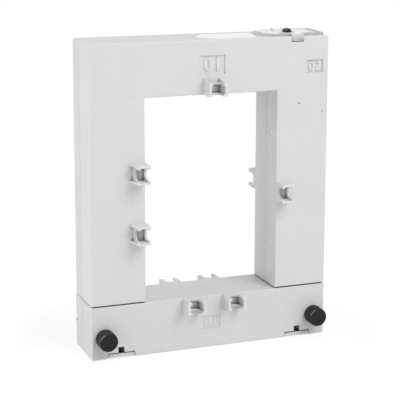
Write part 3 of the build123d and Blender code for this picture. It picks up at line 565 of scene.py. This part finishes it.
@dataclass(frozen=True)
class MetalFinish(Finish):
    """Turned, stamped or plated metal with fine marks along one axis, and a thread where it has one."""

    colour: Colour
    roughness: float = 0.3
    marks_along: Axis = Axis.Z
    roughness_range: Range = (0.8, 1.3)
    mark: float = 0.15 * MM
    mark_stretch: float = 0.04
    mark_depth: float = 0.012 * MM
    stain: float = 2.5 * MM
    stain_range: Range = (0.45, 0.8)
    stain_share: float = 0.2
    stain_shade: float = 0.5
    edge_radius: float = 0.15 * MM
    thread_along: Axis | None = None
    thread_pitch: float = 0.8 * MM
    thread_depth: float = 0.35 * MM
    root_range: Range = (0.35, 0.0)
    root_shade: float = 0.35

    def lay(self, make: Shader) -> None:
        """Lays this finish on a new material.

        Args:
            make: The material.
        """
        stretch = tuple(self.mark_stretch if axis is self.marks_along else 1.0 for axis in Axis)
        marks = make.noise(self.mark, 2.0, stretch)
        stain = make.spread(make.noise(self.stain, 3.0), *self.stain_range)
        share = make.maths("MULTIPLY", stain, self.stain_share)
        colour = make.mix(share, self.colour, shade(self.colour, self.stain_shade))
        direction = make.relief(marks, self.mark_depth, make.rounded(self.edge_radius))
        if self.thread_along is not None:
            thread = make.ripple(self.thread_along, self.thread_pitch)
            # Painted shade: the thread's roots are darkened.
            root = make.spread(thread, *self.root_range)
            colour = make.mix(root, colour, shade(self.colour, self.root_shade))
            direction = make.relief(thread, self.thread_depth, direction)
        smooth, rough = (self.roughness * factor for factor in self.roughness_range)
        roughness = make.spread(marks, *MARK_RANGE, smooth, rough)
        make.finish(Base_Color=colour, Roughness=roughness, Normal=direction, Metallic=1.0)


@dataclass(frozen=True)
class ClearFinish(Finish):
    """Clear moulded plastic or film, a little milky, with flow waves and a painted sheen at a low angle.

    Towards the rear, between the two places of `clearing`, it turns from `body` to `rear_body`, but for the
    walls that are turned to the left. In front of `lip_y` it has the lip's own colour, clouded, and darkened
    towards the lip's lower edge as painted shade.
    """

    colour: Colour
    body: float
    rear_body: float | None = None
    clearing: Range = (-11.0 * MM, -8.0 * MM)
    wall_cosines: Range = (0.5, 0.65)
    lip_y: Range = (-13.7 * MM, -14.3 * MM)
    lip_colour: Colour = (0.80, 0.81, 0.81)
    lip_cloud: float = 0.9 * MM
    lip_shades: Range = (0.9, 1.1)
    lip_fade: Range = (180.0 * MM, 178.0 * MM)
    lip_shade: float = 0.78
    sheen: Colour = (0.93, 0.94, 0.94)
    sheen_body: float = 0.96
    sheen_range: Range = (0.66, 0.84)
    roughness: float = 0.1
    haze: float = 1.2 * MM
    haze_range: Range = (0.35, 0.75)
    haze_factor: float = 2.2
    wave: float = 6.0 * MM
    wave_shades: Range = (0.97, 1.0)
    wave_depth: float = 0.008 * MM
    edge_radius: float = 0.2 * MM

    def lay(self, make: Shader) -> None:
        """Lays this finish on a new material.

        Args:
            make: The material.
        """
        waves = make.noise(self.wave)
        direction = make.relief(waves, self.wave_depth, make.rounded(self.edge_radius))
        haze = make.noise(self.haze, 3.0)
        roughness = make.spread(haze, *self.haze_range, self.roughness, self.roughness * self.haze_factor)
        slant = make.add("ShaderNodeLayerWeight", {"Blend": 0.5}).outputs["Facing"]
        low_angle = make.spread(slant, *self.sheen_range)
        tint = make.clouded(waves, self.colour, *self.wave_shades)
        own_body: Feed = self.body
        if self.rear_body is not None:
            back = make.coordinate(Axis.Y)
            tint = make.mix(make.spread(back, *self.lip_y), tint, self.lip(make))
            front = make.spread(back, *self.clearing, 1.0, 0.0)
            walls = make.maths("MAXIMUM", front, make.turned_to(LEFTWARDS, *self.wall_cosines))
            own_body = make.spread(walls, 0.0, 1.0, self.rear_body, self.body)
        # Painted sheen: at a low angle the colour turns white and the plastic less clear.
        tint = make.mix(low_angle, tint, self.sheen)
        body = make.spread(low_angle, 0.0, 1.0, own_body, self.sheen_body)
        make.finish(Base_Color=tint, Roughness=roughness, Normal=direction, IOR=PLASTIC_IOR, Alpha=body)

    def lip(self, make: Shader) -> Feed:
        """The colour of the lip in front, darkened towards its lower edge as painted shade.

        Args:
            make: The material.

        Returns:
            The colour.
        """
        # Painted shade: the lip darkens towards its lower edge.
        lower = make.spread(make.coordinate(Axis.Z), *self.lip_fade)
        clouded = make.clouded(make.noise(self.lip_cloud), self.lip_colour, *self.lip_shades)
        return make.mix(lower, clouded, shade(self.lip_colour, self.lip_shade))


@dataclass(frozen=True)
class RuledCardFinish(Finish):
    """White card with thin grey ruling, as on a blank rating plate."""

    colour: Colour = (0.86, 0.86, 0.85)
    fibre: float = 0.4 * MM
    fibre_shades: Range = (0.97, 1.02)
    fibre_depth: float = 0.006 * MM
    ink: Colour = (0.28, 0.29, 0.30)
    ink_share: float = 0.8
    row: float = 4.5 * MM
    column: float = 12.9 * MM
    first_column: float = -5.0 * MM
    line: float = 0.22 * MM
    roughness: float = 0.6

    def lay(self, make: Shader) -> None:
        """Lays this finish on a new material.

        Args:
            make: The material.
        """
        lines = []
        for axis, pitch, start in ((Axis.Y, self.row, 0.0), (Axis.X, self.column, self.first_column)):
            turn = make.maths("DIVIDE", make.maths("SUBTRACT", make.coordinate(axis), start), pitch)
            lines.append(make.maths("LESS_THAN", make.maths("FRACT", turn), self.line / pitch))
        ruled = make.maths("MAXIMUM", *lines)
        fibres = make.noise(self.fibre, 4.0)
        paper = make.clouded(fibres, self.colour, *self.fibre_shades)
        colour = make.mix(make.maths("MULTIPLY", ruled, self.ink_share), paper, self.ink)
        direction = make.relief(fibres, self.fibre_depth)
        make.finish(Base_Color=colour, Roughness=self.roughness, Normal=direction)


@dataclass(frozen=True)
class KnobFinish(Finish):
    """Black filled plastic of the thumb screws: dull, lightly rubbed on its edges and knurl, with a painted
    highlight.
    """

    colour: Colour = (0.006, 0.006, 0.0065)
    rubbed: Colour = (0.11, 0.11, 0.114)
    rub_patch: float = 1.6 * MM
    rub_range: Range = (0.35, 0.7)
    rub_least: float = 0.3
    rub_more: float = 0.5
    dust: float = 0.35 * MM
    dust_range: Range = (0.62, 0.88)
    dust_share: float = 0.2
    dust_shade: float = 1.1
    glint: Colour = (0.42, 0.42, 0.43)
    glint_share: float = 0.38
    glint_side: Point = (-0.52, -0.707, 0.48)
    glint_cosines: Range = (0.93, 0.985)
    grain: float = 0.3 * MM
    grain_depth: float = 0.012 * MM
    edge_radius: float = 0.18 * MM
    roughness: float = 0.42
    roughness_swing: float = 0.12
    gloss: float = 1.36

    def lay(self, make: Shader) -> None:
        """Lays this finish on a new material.

        Args:
            make: The material.
        """
        rounded = make.rounded(self.edge_radius)
        patches = make.spread(make.noise(self.rub_patch, 3.0), *self.rub_range)
        wear = make.maths("MULTIPLY_ADD", patches, self.rub_more, self.rub_least)
        rub = make.maths("MULTIPLY", make.edge(rounded), wear)
        dust = make.spread(make.noise(self.dust, 3.0), *self.dust_range)
        # Painted highlight: faces turned to the upper front left are made paler.
        glinting = make.turned_to(self.glint_side, *self.glint_cosines)
        colour = make.mix(rub, self.colour, self.rubbed)
        colour = make.mix(make.maths("MULTIPLY", glinting, self.glint_share), colour, self.glint)
        dusty = make.maths("MULTIPLY", dust, self.dust_share)
        colour = make.mix(dusty, colour, shade(self.rubbed, self.dust_shade))
        direction = make.relief(make.noise(self.grain, 3.0), self.grain_depth, rounded)
        roughness = make.spread(patches, 0.0, 1.0, self.roughness, self.roughness + self.roughness_swing)
        make.finish(Base_Color=colour, Roughness=roughness, Normal=direction, IOR=self.gloss)


@dataclass(frozen=True)
class SoftFinish(Finish):
    """Foam, film or wire sleeve: an even colour broken by fine cells or creases."""

    colour: Colour
    cell: float
    depth: float
    roughness: float = 0.7
    coat: float = 0.0
    stretch: Point = (1.0, 1.0, 1.0)
    cell_shades: Range = (0.78, 1.2)
    coat_roughness: float = 0.2

    def lay(self, make: Shader) -> None:
        """Lays this finish on a new material.

        Args:
            make: The material.
        """
        cells = make.noise(self.cell, 4.0, self.stretch)
        make.finish(
            Base_Color=make.clouded(cells, self.colour, *self.cell_shades), Roughness=self.roughness,
            Normal=make.relief(cells, self.depth), Coat_Weight=self.coat, Coat_Roughness=self.coat_roughness,
        )


def add_object(name: str, data: bpy.types.ID) -> bpy.types.Object:
    """Puts a new object in the scene.

    Args:
        name: Its name.
        data: Its mesh, text, lamp or camera.

    Returns:
        The object.
    """
    added = bpy.data.objects.new(name, data)
    bpy.context.scene.collection.objects.link(added)
    return added


def add_form(name: str, form: bmesh.types.BMesh, material: bpy.types.Material) -> bpy.types.Object:
    """Makes an object of a form.

    Args:
        name: Its name.
        form: The form in the frame, used up here.
        material: Its material.

    Returns:
        The object.
    """
    mesh = bpy.data.meshes.new(name)
    form.to_mesh(mesh)
    form.free()
    mesh.materials.append(material)
    return add_object(name, mesh)


class Workshop:
    """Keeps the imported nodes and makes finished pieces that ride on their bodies."""

    def __init__(self, frame: dict[str, Any]) -> None:
        """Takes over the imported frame.
        """
        self.nodes: dict[str, bpy.types.Object] = frame["nodes"]

    def dress(self, names: Iterable[str], material: bpy.types.Material) -> None:
        """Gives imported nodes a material.

        Args:
            names: The nodes.
            material: Their new material.
        """
        for name in names:
            for slot in self.nodes[name].material_slots:
                slot.material = material
            LOG.info("dressed %s with %s", name, material.name)

    def piece(
        self, name: str, form: bmesh.types.BMesh, lie: Matrix, material: bpy.types.Material, body: str,
    ) -> None:
        """Makes a piece and lets it ride.

        Args:
            name: Its name.
            form: Its form about the origin, used up here.
            lie: The transform that sets it in its place.
            material: Its material.
            body: The body that it moves with.
        """
        bmesh.ops.transform(form, matrix=lie, verts=form.verts)
        bmesh.ops.recalc_face_normals(form, faces=form.faces)
        made = add_form(name, form, material)
        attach(made, body)
        LOG.info("made %s, %d faces, on %s", name, len(made.data.polygons), body)


def facing(place: Vector, outwards: Vector) -> Matrix:
    """The transform that sets a form drawn about +Z on a surface.

    Args:
        place: The point of the surface.
        outwards: The direction away from it.

    Returns:
        The transform.
    """
    return Matrix.Translation(place) @ outwards.to_track_quat("Z", "Y").to_matrix().to_4x4()


def round_mark(radius: float, height: float, rim: float) -> bmesh.types.BMesh:
    """A low round mark with a rim and a sunk middle, about +Z from the ground up.

    Args:
        radius: Its outer radius.
        height: The height of its rim.
        rim: The width of its rim.

    Returns:
        The form.
    """
    slope, flat = rim * 0.3, rim * 0.4
    crown, sink = height * 0.25, height * 0.7
    form = bmesh.new()
    bmesh.ops.create_circle(form, cap_ends=True, radius=radius, segments=MARK_SEGMENTS)
    top = bmesh.ops.extrude_face_region(form, geom=form.faces[:])["geom"]
    lifted = [v for v in top if isinstance(v, bmesh.types.BMVert)]
    bmesh.ops.translate(form, verts=lifted, vec=(0.0, 0.0, height))
    cap = [f for f in top if isinstance(f, bmesh.types.BMFace)]
    bmesh.ops.inset_region(form, faces=cap, thickness=slope, depth=crown)
    bmesh.ops.inset_region(form, faces=cap, thickness=flat)
    bmesh.ops.inset_region(form, faces=cap, thickness=slope, depth=-sink)
    return form


def numeral(text: str, height: float, depth: float, weight: float) -> bmesh.types.BMesh:
    """Raised numerals, centred on the origin and read from +Z.

    Args:
        text: The numerals.
        height: Their height.
        depth: How far they stand up, from half under the ground to half over it.
        weight: How much each stroke is thickened.

    Returns:
        The form.
    """
    letters = bpy.data.curves.new("numeral", "FONT")
    letters.body = text
    letters.size = height / NUMERAL_SHARE
    letters.align_x = "CENTER"
    letters.align_y = "CENTER"
    letters.extrude = depth / 2
    letters.offset = weight
    letters.space_character = NUMERAL_SPACING
    letters.resolution_u = NUMERAL_STEPS
    holder = add_object("numeral", letters)
    bpy.context.view_layer.update()
    ready = holder.evaluated_get(bpy.context.evaluated_depsgraph_get())
    mesh = bpy.data.meshes.new_from_object(ready)
    form = bmesh.new()
    form.from_mesh(mesh)
    bmesh.ops.remove_doubles(form, verts=form.verts, dist=MERGE_GAP)
    bpy.data.objects.remove(holder)
    bpy.data.curves.remove(letters)
    bpy.data.meshes.remove(mesh)
    return form


@dataclass(frozen=True)
class MarkingField:
    """A sunk field in a front face and the plain numerals that stand in it."""

    name: str
    text: str
    x: float
    z: float
    height: float
    depth: float
    body: str
    slot: str


@dataclass
class Housing:
    """The grey mouldings: both shells of the housing and of the base, with their small moulded marks."""

    stroke_sink: float = 0.1 * MM
    stroke_highlight: float = 1.07
    stroke_weight: float = 0.05 * MM
    stroke_roughness: float = 0.45
    smooth_grain: float = 0.004 * MM
    window_half: float = 40.0 * MM
    ejector_heights: tuple[float, ...] = (57.4 * MM, 123.8 * MM)
    ejector_front_y: float = -9.0 * MM
    ejector_rear_y: float = 6.7 * MM
    ejector_front_radius: float = 1.1 * MM
    ejector_rear_radius: float = 0.8 * MM
    ejector_height: float = 0.18 * MM
    ejector_rim: float = 0.35
    ejector_glint: float = 1.3
    ejector_roughness: float = 0.4
    base_pins: tuple[Point, ...] = ((34.4 * MM, 8.7 * MM, 31.0 * MM), (33.6 * MM, -7.3 * MM, 31.0 * MM))
    base_pin_radius: float = 0.6 * MM
    gate_place: Point = (-72.0 * MM, 14.9 * MM, 15.5 * MM)
    gate_radius: float = 0.9 * MM
    gate_rim: float = 0.36 * MM
    gate_height: float = 0.36 * MM
    grey: Colour = (0.735, 0.735, 0.73)
    rear_shade: float = 0.985
    base_shade: float = 0.975
    side_painted_light: float = 1.035
    legs_beyond: float = 41.0 * MM
    flecks: tuple[Speck, ...] = (
        Speck((53.9 * MM, FRONT_Y, 141.0 * MM), 0.62 * MM),
        Speck((68.6 * MM, FRONT_Y, 135.6 * MM), 0.45 * MM),
        Speck((43.4 * MM, FRONT_Y, 115.9 * MM), 0.22 * MM),
        Speck((-48.4 * MM, FRONT_Y, 150.3 * MM), 0.25 * MM),
        Speck((-58.6 * MM, FRONT_Y, 92.0 * MM), 0.18 * MM),
        Speck((-21.4 * MM, FRONT_Y, 167.6 * MM), 0.2 * MM),
    )
    fields: tuple[MarkingField, ...] = (
        MarkingField(
            "beam_numerals", "01", 0.3 * MM, 165.7 * MM, 7.7 * MM, 0.8 * MM, "upper_body", "grey_housing"
        ),
        MarkingField(
            "side_numerals", "02", 63.4 * MM, 162.2 * MM, 5.4 * MM, 0.8 * MM, "upper_body", "grey_housing"
        ),
        MarkingField("base_numerals", "01", 0.1 * MM, 15.1 * MM, 5.9 * MM, 0.5 * MM, "base", "grey_base"),
    )

    def build(self, shop: Workshop) -> None:
        """Dresses the shells and adds their marks.

        Args:
            shop: Where pieces are made.
        """
        # The front shell's outer sides are made paler as painted light.
        front = MouldedFinish(self.grey, side_painted_light=self.side_painted_light, flecks=self.flecks)
        rear = MouldedFinish(shade(self.grey, self.rear_shade))
        base = MouldedFinish(shade(self.grey, self.base_shade), covered_beyond=self.legs_beyond)
        base_material = base.material("base_moulding")
        shop.dress(["body_front_shell"], front.material("housing_front_moulding"))
        shop.dress(["body_rear_shell"], rear.material("housing_rear_moulding"))
        shop.dress(["base_front_shell", "base_rear_shell"], base_material)
        self.add_numerals(shop)
        self.add_ejector_marks(shop)
        self.add_gate_mark(shop, base_material)

    def add_numerals(self, shop: Workshop) -> None:
        """Stands the numerals in their fields, in smoother plastic made paler than the grained faces as a
        painted highlight.

        Args:
            shop: Where pieces are made.
        """
        # Painted highlight: the strokes are made paler than the grey.
        strokes = self.smooth(self.stroke_highlight, self.stroke_roughness).material("numeral_moulding")
        for mark in self.fields:
            form = numeral(mark.text, mark.height, 2 * (mark.depth - self.stroke_sink), self.stroke_weight)
            ground = Vector((mark.x, FRONT_Y + mark.depth, mark.z))
            lie = Matrix.Translation(ground) @ Matrix.Rotation(math.radians(90.0), 4, "X")
            shop.piece(mark.name, form, lie, strokes, mark.body)

    def smooth(self, painted_light: float, roughness: float) -> MouldedFinish:
        """The grey plastic from a smooth part of the tool, made paler by a factor as a painted highlight."""
        return MouldedFinish(shade(self.grey, painted_light), roughness=roughness, grain_depth=self.smooth_grain)

    def add_ejector_marks(self, shop: Workshop) -> None:
        """Sets the smooth round marks of the ejector pins on the window's walls and on the base under it.

        Args:
            shop: Where pieces are made.
        """
        # Painted highlight: the pin marks are made paler than the grey, as glints.
        material = self.smooth(self.ejector_glint, self.ejector_roughness).material("pin_glint")
        rows = (
            ("front", self.ejector_front_y, self.ejector_front_radius, "grey_housing"),
            ("rear", self.ejector_rear_y, self.ejector_rear_radius, "grey_housing_rear"),
        )
        for side in Side:
            for row, y, radius, slot in rows:
                for number, height in enumerate(self.ejector_heights, 1):
                    form = round_mark(radius, self.ejector_height, radius * self.ejector_rim)
                    place = Vector((side.value * self.window_half, y, height))
                    lie = facing(place, Axis.X.unit(-side.value))
                    shop.piece(side.of(f"ejector_{row}_{number}"), form, lie, material, "upper_body")
            for number, (x, y, z) in enumerate(self.base_pins, 1):
                rim = self.base_pin_radius * self.ejector_rim
                form = round_mark(self.base_pin_radius, self.ejector_height, rim)
                lie = Matrix.Translation((side.value * x, y, z))
                shop.piece(side.of(f"base_ejector_{number}"), form, lie, material, "base")

    def add_gate_mark(self, shop: Workshop, material: bpy.types.Material) -> None:
        """Leaves the cut-off gate on the base's left side.

        Args:
            shop: Where pieces are made.
            material: The base's material.
        """
        form = round_mark(self.gate_radius, self.gate_height, self.gate_rim)
        lie = facing(Vector(self.gate_place), Axis.X.unit(-1))
        shop.piece("base_gate_mark", form, lie, material, "base")


@dataclass
class Magnetics:
    """The cores, the coils on them, and what holds and joins them inside the housing."""

    bobbin: MouldedFinish = MouldedFinish((0.62, 0.60, 0.52), roughness=0.45)
    sheets: LaminatedFinish = LaminatedFinish()
    wound: WoundFinish = WoundFinish()
    wrap: SoftFinish = SoftFinish((0.62, 0.42, 0.10), 2.4 * MM, 0.05 * MM, 0.25, 0.7, (1.0, 1.0, 0.2))
    sleeve: SoftFinish = SoftFinish((0.42, 0.02, 0.015), 0.6 * MM, 0.02 * MM, 0.45, 0.2)
    foam: SoftFinish = SoftFinish((0.030, 0.030, 0.032), 0.7 * MM, 0.18 * MM, 0.95)
    spring: MetalFinish = MetalFinish((0.50, 0.51, 0.53), 0.25, Axis.X)

    def build(self, shop: Workshop) -> None:
        """Dresses every inner piece.

        Args:
            shop: Where pieces are made.
        """
        shop.dress(["u_core", "yoke_core"], self.sheets.material("stacked_sheets"))
        shop.dress(["core_foam_strip"], self.foam.material("closed_foam"))
        sleeve = self.sleeve.material("red_sleeve")
        shop.dress(["winding_link_wire", *(side.of("lead_wire") for side in Side)], sleeve)
        both = (
            ("bobbin", self.bobbin.material("nylon_moulding")),
            ("winding", self.wound.material("copper_turns")),
            ("winding_wrap", self.wrap.material("amber_film")),
            ("yoke_spring", self.spring.material("spring_strip")),
        )
        for stem, material in both:
            shop.dress([side.of(stem) for side in Side], material)


@dataclass
class TerminalCompartment:
    """The terminals in the beam's top right corner, under their clear cover with its sealing screw."""

    x: float = 52.5 * MM
    cover_floor: float = 180.65 * MM
    ring_radius: float = 4.3 * MM
    ring_rim: float = 0.8 * MM
    ring_height: float = 0.3 * MM
    ring_segments: int = 56
    ramp_size: float = 1.5 * MM
    ramp_depth: float = 0.35 * MM
    relief_edge: float = 0.105 * MM
    ramp_place: Point = (54.6 * MM, -16.2 * MM, 179.3 * MM)
    block: MouldedFinish = MouldedFinish((0.56, 0.56, 0.55), roughness=0.45)
    cover: ClearFinish = ClearFinish((0.58, 0.59, 0.59), 0.75, 0.2, roughness=0.16)
    brass: MetalFinish = MetalFinish(BRASS, 0.28, Axis.X)
    threaded_brass: MetalFinish = MetalFinish(BRASS, 0.3, Axis.X)
    nickel: MetalFinish = MetalFinish((0.62, 0.61, 0.58), 0.22, Axis.Y)
    screw: KnobFinish = KnobFinish(roughness=0.3)

    def build(self, shop: Workshop) -> None:
        """Dresses the compartment and adds the cover's moulded relief.

        Args:
            shop: Where pieces are made.
        """
        clear = self.cover.material("clear_moulding")
        brass = self.brass.material("stamped_brass")
        nickel = self.nickel.material("nickel_plate")
        shop.dress(["terminal_block"], self.block.material("block_moulding"))
        shop.dress(["terminal_cover"], clear)
        shop.dress([side.of("terminal_plate") for side in Side], brass)
        shop.dress([side.of(stem) for stem in ("clamp_washer", "terminal_screw") for side in Side], nickel)
        shop.dress(["cover_screw_insert"], self.threaded_brass.material("turned_brass"))
        shop.dress(["cover_screw"], self.screw.material("black_screw"))
        self.add_cover_relief(shop, clear)

    def add_cover_relief(self, shop: Workshop, clear: bpy.types.Material) -> None:
        """Moulds the ring round the sealing screw and the release ramp on the front tab.

        Args:
            shop: Where pieces are made.
            clear: The cover's material.
        """
        ring = bmesh.new()
        bmesh.ops.create_circle(ring, radius=self.ring_radius, segments=self.ring_segments)
        spokes = bmesh.ops.extrude_edge_only(ring, edges=ring.edges[:])["geom"]
        inner = [v for v in spokes if isinstance(v, bmesh.types.BMVert)]
        narrower = (self.ring_radius - self.ring_rim) / self.ring_radius
        bmesh.ops.scale(ring, vec=(narrower, narrower, 1.0), verts=inner)
        self.thicken(ring, self.ring_height, self.relief_edge)
        lie = Matrix.Translation((self.x, 0.0, self.cover_floor))
        shop.piece("cover_ring", ring, lie, clear, "cover")

        ramp = bmesh.new()
        bmesh.ops.create_circle(ramp, cap_ends=True, radius=self.ramp_size, segments=3)
        self.thicken(ramp, self.ramp_depth, self.relief_edge)
        lie = facing(Vector(self.ramp_place), Axis.Y.unit(-1))
        shop.piece("cover_tab_ramp", ramp, lie, clear, "cover")

    @staticmethod
    def thicken(form: bmesh.types.BMesh, height: float, edge: float) -> None:
        """Raises a flat form and rounds its top edges.

        Args:
            form: The flat form, changed here.
            height: How high it is raised.
            edge: The rounding of its top edges.
        """
        raised = bmesh.ops.extrude_face_region(form, geom=form.faces[:])["geom"]
        lifted = [v for v in raised if isinstance(v, bmesh.types.BMVert)]
        bmesh.ops.translate(form, verts=lifted, vec=(0.0, 0.0, height))
        top = [e for e in form.edges if set(e.verts) <= set(lifted)]
        rims = [e for e in top if e.is_boundary or e.calc_face_angle(0.0) > CORNER_ANGLE]
        bmesh.ops.bevel(form, geom=rims, offset=edge, segments=2, profile=0.5, affect="EDGES", material=-1)


@dataclass
class ThumbScrews:
    """The two black thumb screws that hold the base on, with their studs and inserts."""

    black: KnobFinish = KnobFinish()
    steel: MetalFinish = MetalFinish((0.55, 0.55, 0.54), 0.3, Axis.X, thread_along=Axis.Y)
    brass: MetalFinish = MetalFinish(BRASS, 0.32, Axis.Y)

    def build(self, shop: Workshop) -> None:
        """Dresses the knobs, studs and inserts.

        Args:
            shop: Where pieces are made.
        """
        finishes = (
            ("thumb_knob", self.black.material("black_grip")),
            ("thumb_stud", self.steel.material("zinc_thread")),
            ("stud_insert", self.brass.material("insert_brass")),
        )
        for stem, material in finishes:
            shop.dress([side.of(stem) for side in Side], material)


@dataclass
class RatingLabel:
    """The blank ruled card in the beam's top and the clear film over it."""

    card: RuledCardFinish = RuledCardFinish()
    film: ClearFinish = ClearFinish((0.9, 0.91, 0.91), 0.12, roughness=0.05, wave_depth=0.003 * MM)

    def build(self, shop: Workshop) -> None:
        """Dresses the card and its film."""
        shop.dress(["rating_label"], self.card.material("ruled_card"))
        shop.dress(["label_window"], self.film.material("clear_film"))


@dataclass(frozen=True)
class Lamp:
    """A square soft lamp aimed at the object."""

    name: str
    place: Point
    size: float
    power: float


@dataclass
class Studio:
    """The floor, the soft light and the camera at the photograph's angle."""

    lamps: tuple[Lamp, ...] = (
        Lamp("left_softbox", (-1.9, 0.06, 0.6), 1.2, 11.7),
        Lamp("key_softbox", (0.7, -1.5, 1.5), 1.3, 20.8),
    )
    target: Point = (0.0, 0.0, 0.09)
    ambient: float = 0.543
    floor_radius: float = 3.0
    floor_segments: int = 64
    floor_white: float = 0.85
    floor_seen: float = 0.25
    floor_glow: float = 0.80
    floor_clear: Range = (0.075, 0.15)
    frame_px: float = 400.0
    sensor: float = 36.0
    focal_px: float = 1403.9
    centre_px: Range = (240.0, 152.0)
    camera_place: Point = (-0.28015, -0.74656, 0.27249)
    yaw: float = 22.142
    pitch: float = -11.312
    roll: float = 0.457
    near: float = 0.01

    def build(self) -> None:
        """Sets up the whole studio."""
        self.add_floor()
        for lamp in self.lamps:
            self.add_lamp(lamp)
        self.light_world()
        self.add_camera()
        bpy.context.scene.view_settings.view_transform = "Standard"

    def add_floor(self) -> None:
        """Lays a wide pale floor that keeps the object's shadow."""
        make = Shader("pale_floor")
        seen = make.seen()
        middle = make.add("ShaderNodeVectorMath", {0: make.place}, operation="LENGTH").outputs["Value"]
        away = make.spread(middle, *self.floor_clear)
        shown = make.mix(away, (self.floor_seen,) * 3, (0.0, 0.0, 0.0))
        colour = make.mix(seen, (self.floor_white,) * 3, shown)
        glow = make.maths("MULTIPLY", seen, make.spread(away, 0.0, 1.0, self.floor_glow, 1.0))
        make.finish(
            Base_Color=colour, Roughness=1.0, Specular_IOR_Level=0.0, Emission_Color=(1.0, 1.0, 1.0, 1.0),
            Emission_Strength=glow,
        )
        form = bmesh.new()
        segments = self.floor_segments
        bmesh.ops.create_circle(form, cap_ends=True, radius=self.floor_radius, segments=segments)
        floor = add_form("floor", form, make.material)

    def add_lamp(self, lamp: Lamp) -> None:
        """Hangs one soft lamp.

        Args:
            lamp: Its name, place, size and power.
        """
        light = bpy.data.lights.new(lamp.name, "AREA")
        light.shape = "SQUARE"
        light.size = lamp.size
        light.energy = lamp.power
        hung = add_object(lamp.name, light)
        hung.location = lamp.place
        towards = Vector(self.target) - Vector(lamp.place)
        hung.rotation_euler = towards.to_track_quat("-Z", "Y").to_euler()

    def light_world(self) -> None:
        """Makes the surroundings white to the eye, with a plain even light from all around."""
        world = bpy.data.worlds.new("studio")
        bpy.context.scene.world = world
        world.use_nodes = True
        make = Graph(world.node_tree)
        backdrop = next(n for n in make.nodes if n.type == "BACKGROUND")
        make.feed(backdrop.inputs["Color"], (1.0, 1.0, 1.0, 1.0))
        strength = make.spread(make.seen(), 0.0, 1.0, self.ambient, 1.0)
        make.feed(backdrop.inputs["Strength"], strength)

    def add_camera(self) -> None:
        """Sets the camera where the photograph was taken from."""
        view = bpy.data.cameras.new("camera")
        view.sensor_width = self.sensor
        view.lens = self.focal_px * self.sensor / self.frame_px
        half = self.frame_px / 2
        view.shift_x = (half - self.centre_px[0]) / self.frame_px
        view.shift_y = (self.centre_px[1] - half) / self.frame_px
        view.clip_start = self.near
        camera = add_object("camera", view)
        yaw, pitch, roll = (math.radians(a) for a in (self.yaw, self.pitch, self.roll))
        ahead = Vector((math.sin(yaw), math.cos(yaw), 0.0))
        forward = ahead * math.cos(pitch) + Vector(UPWARDS) * math.sin(pitch)
        level = Vector((math.cos(yaw), -math.sin(yaw), 0.0))
        right = level * math.cos(roll) + level.cross(forward) * math.sin(roll)
        upwards = right.cross(forward)
        turn = Matrix((right, upwards, -forward)).transposed().to_4x4()
        camera.matrix_world = Matrix.Translation(self.camera_place) @ turn
        bpy.context.scene.camera = camera


def main() -> None:
    """Builds the scene, sub-assembly by sub-assembly."""
    logging.basicConfig(level=logging.INFO, format="%(message)s")
    shop = Workshop(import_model())
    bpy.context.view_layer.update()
    for assembly in (Housing(), Magnetics(), TerminalCompartment(), ThumbScrews(), RatingLabel()):
        assembly.build(shop)
        LOG.info("finished %s", type(assembly).__name__)
    Studio().build()


if __name__ == "__main__":
    main()
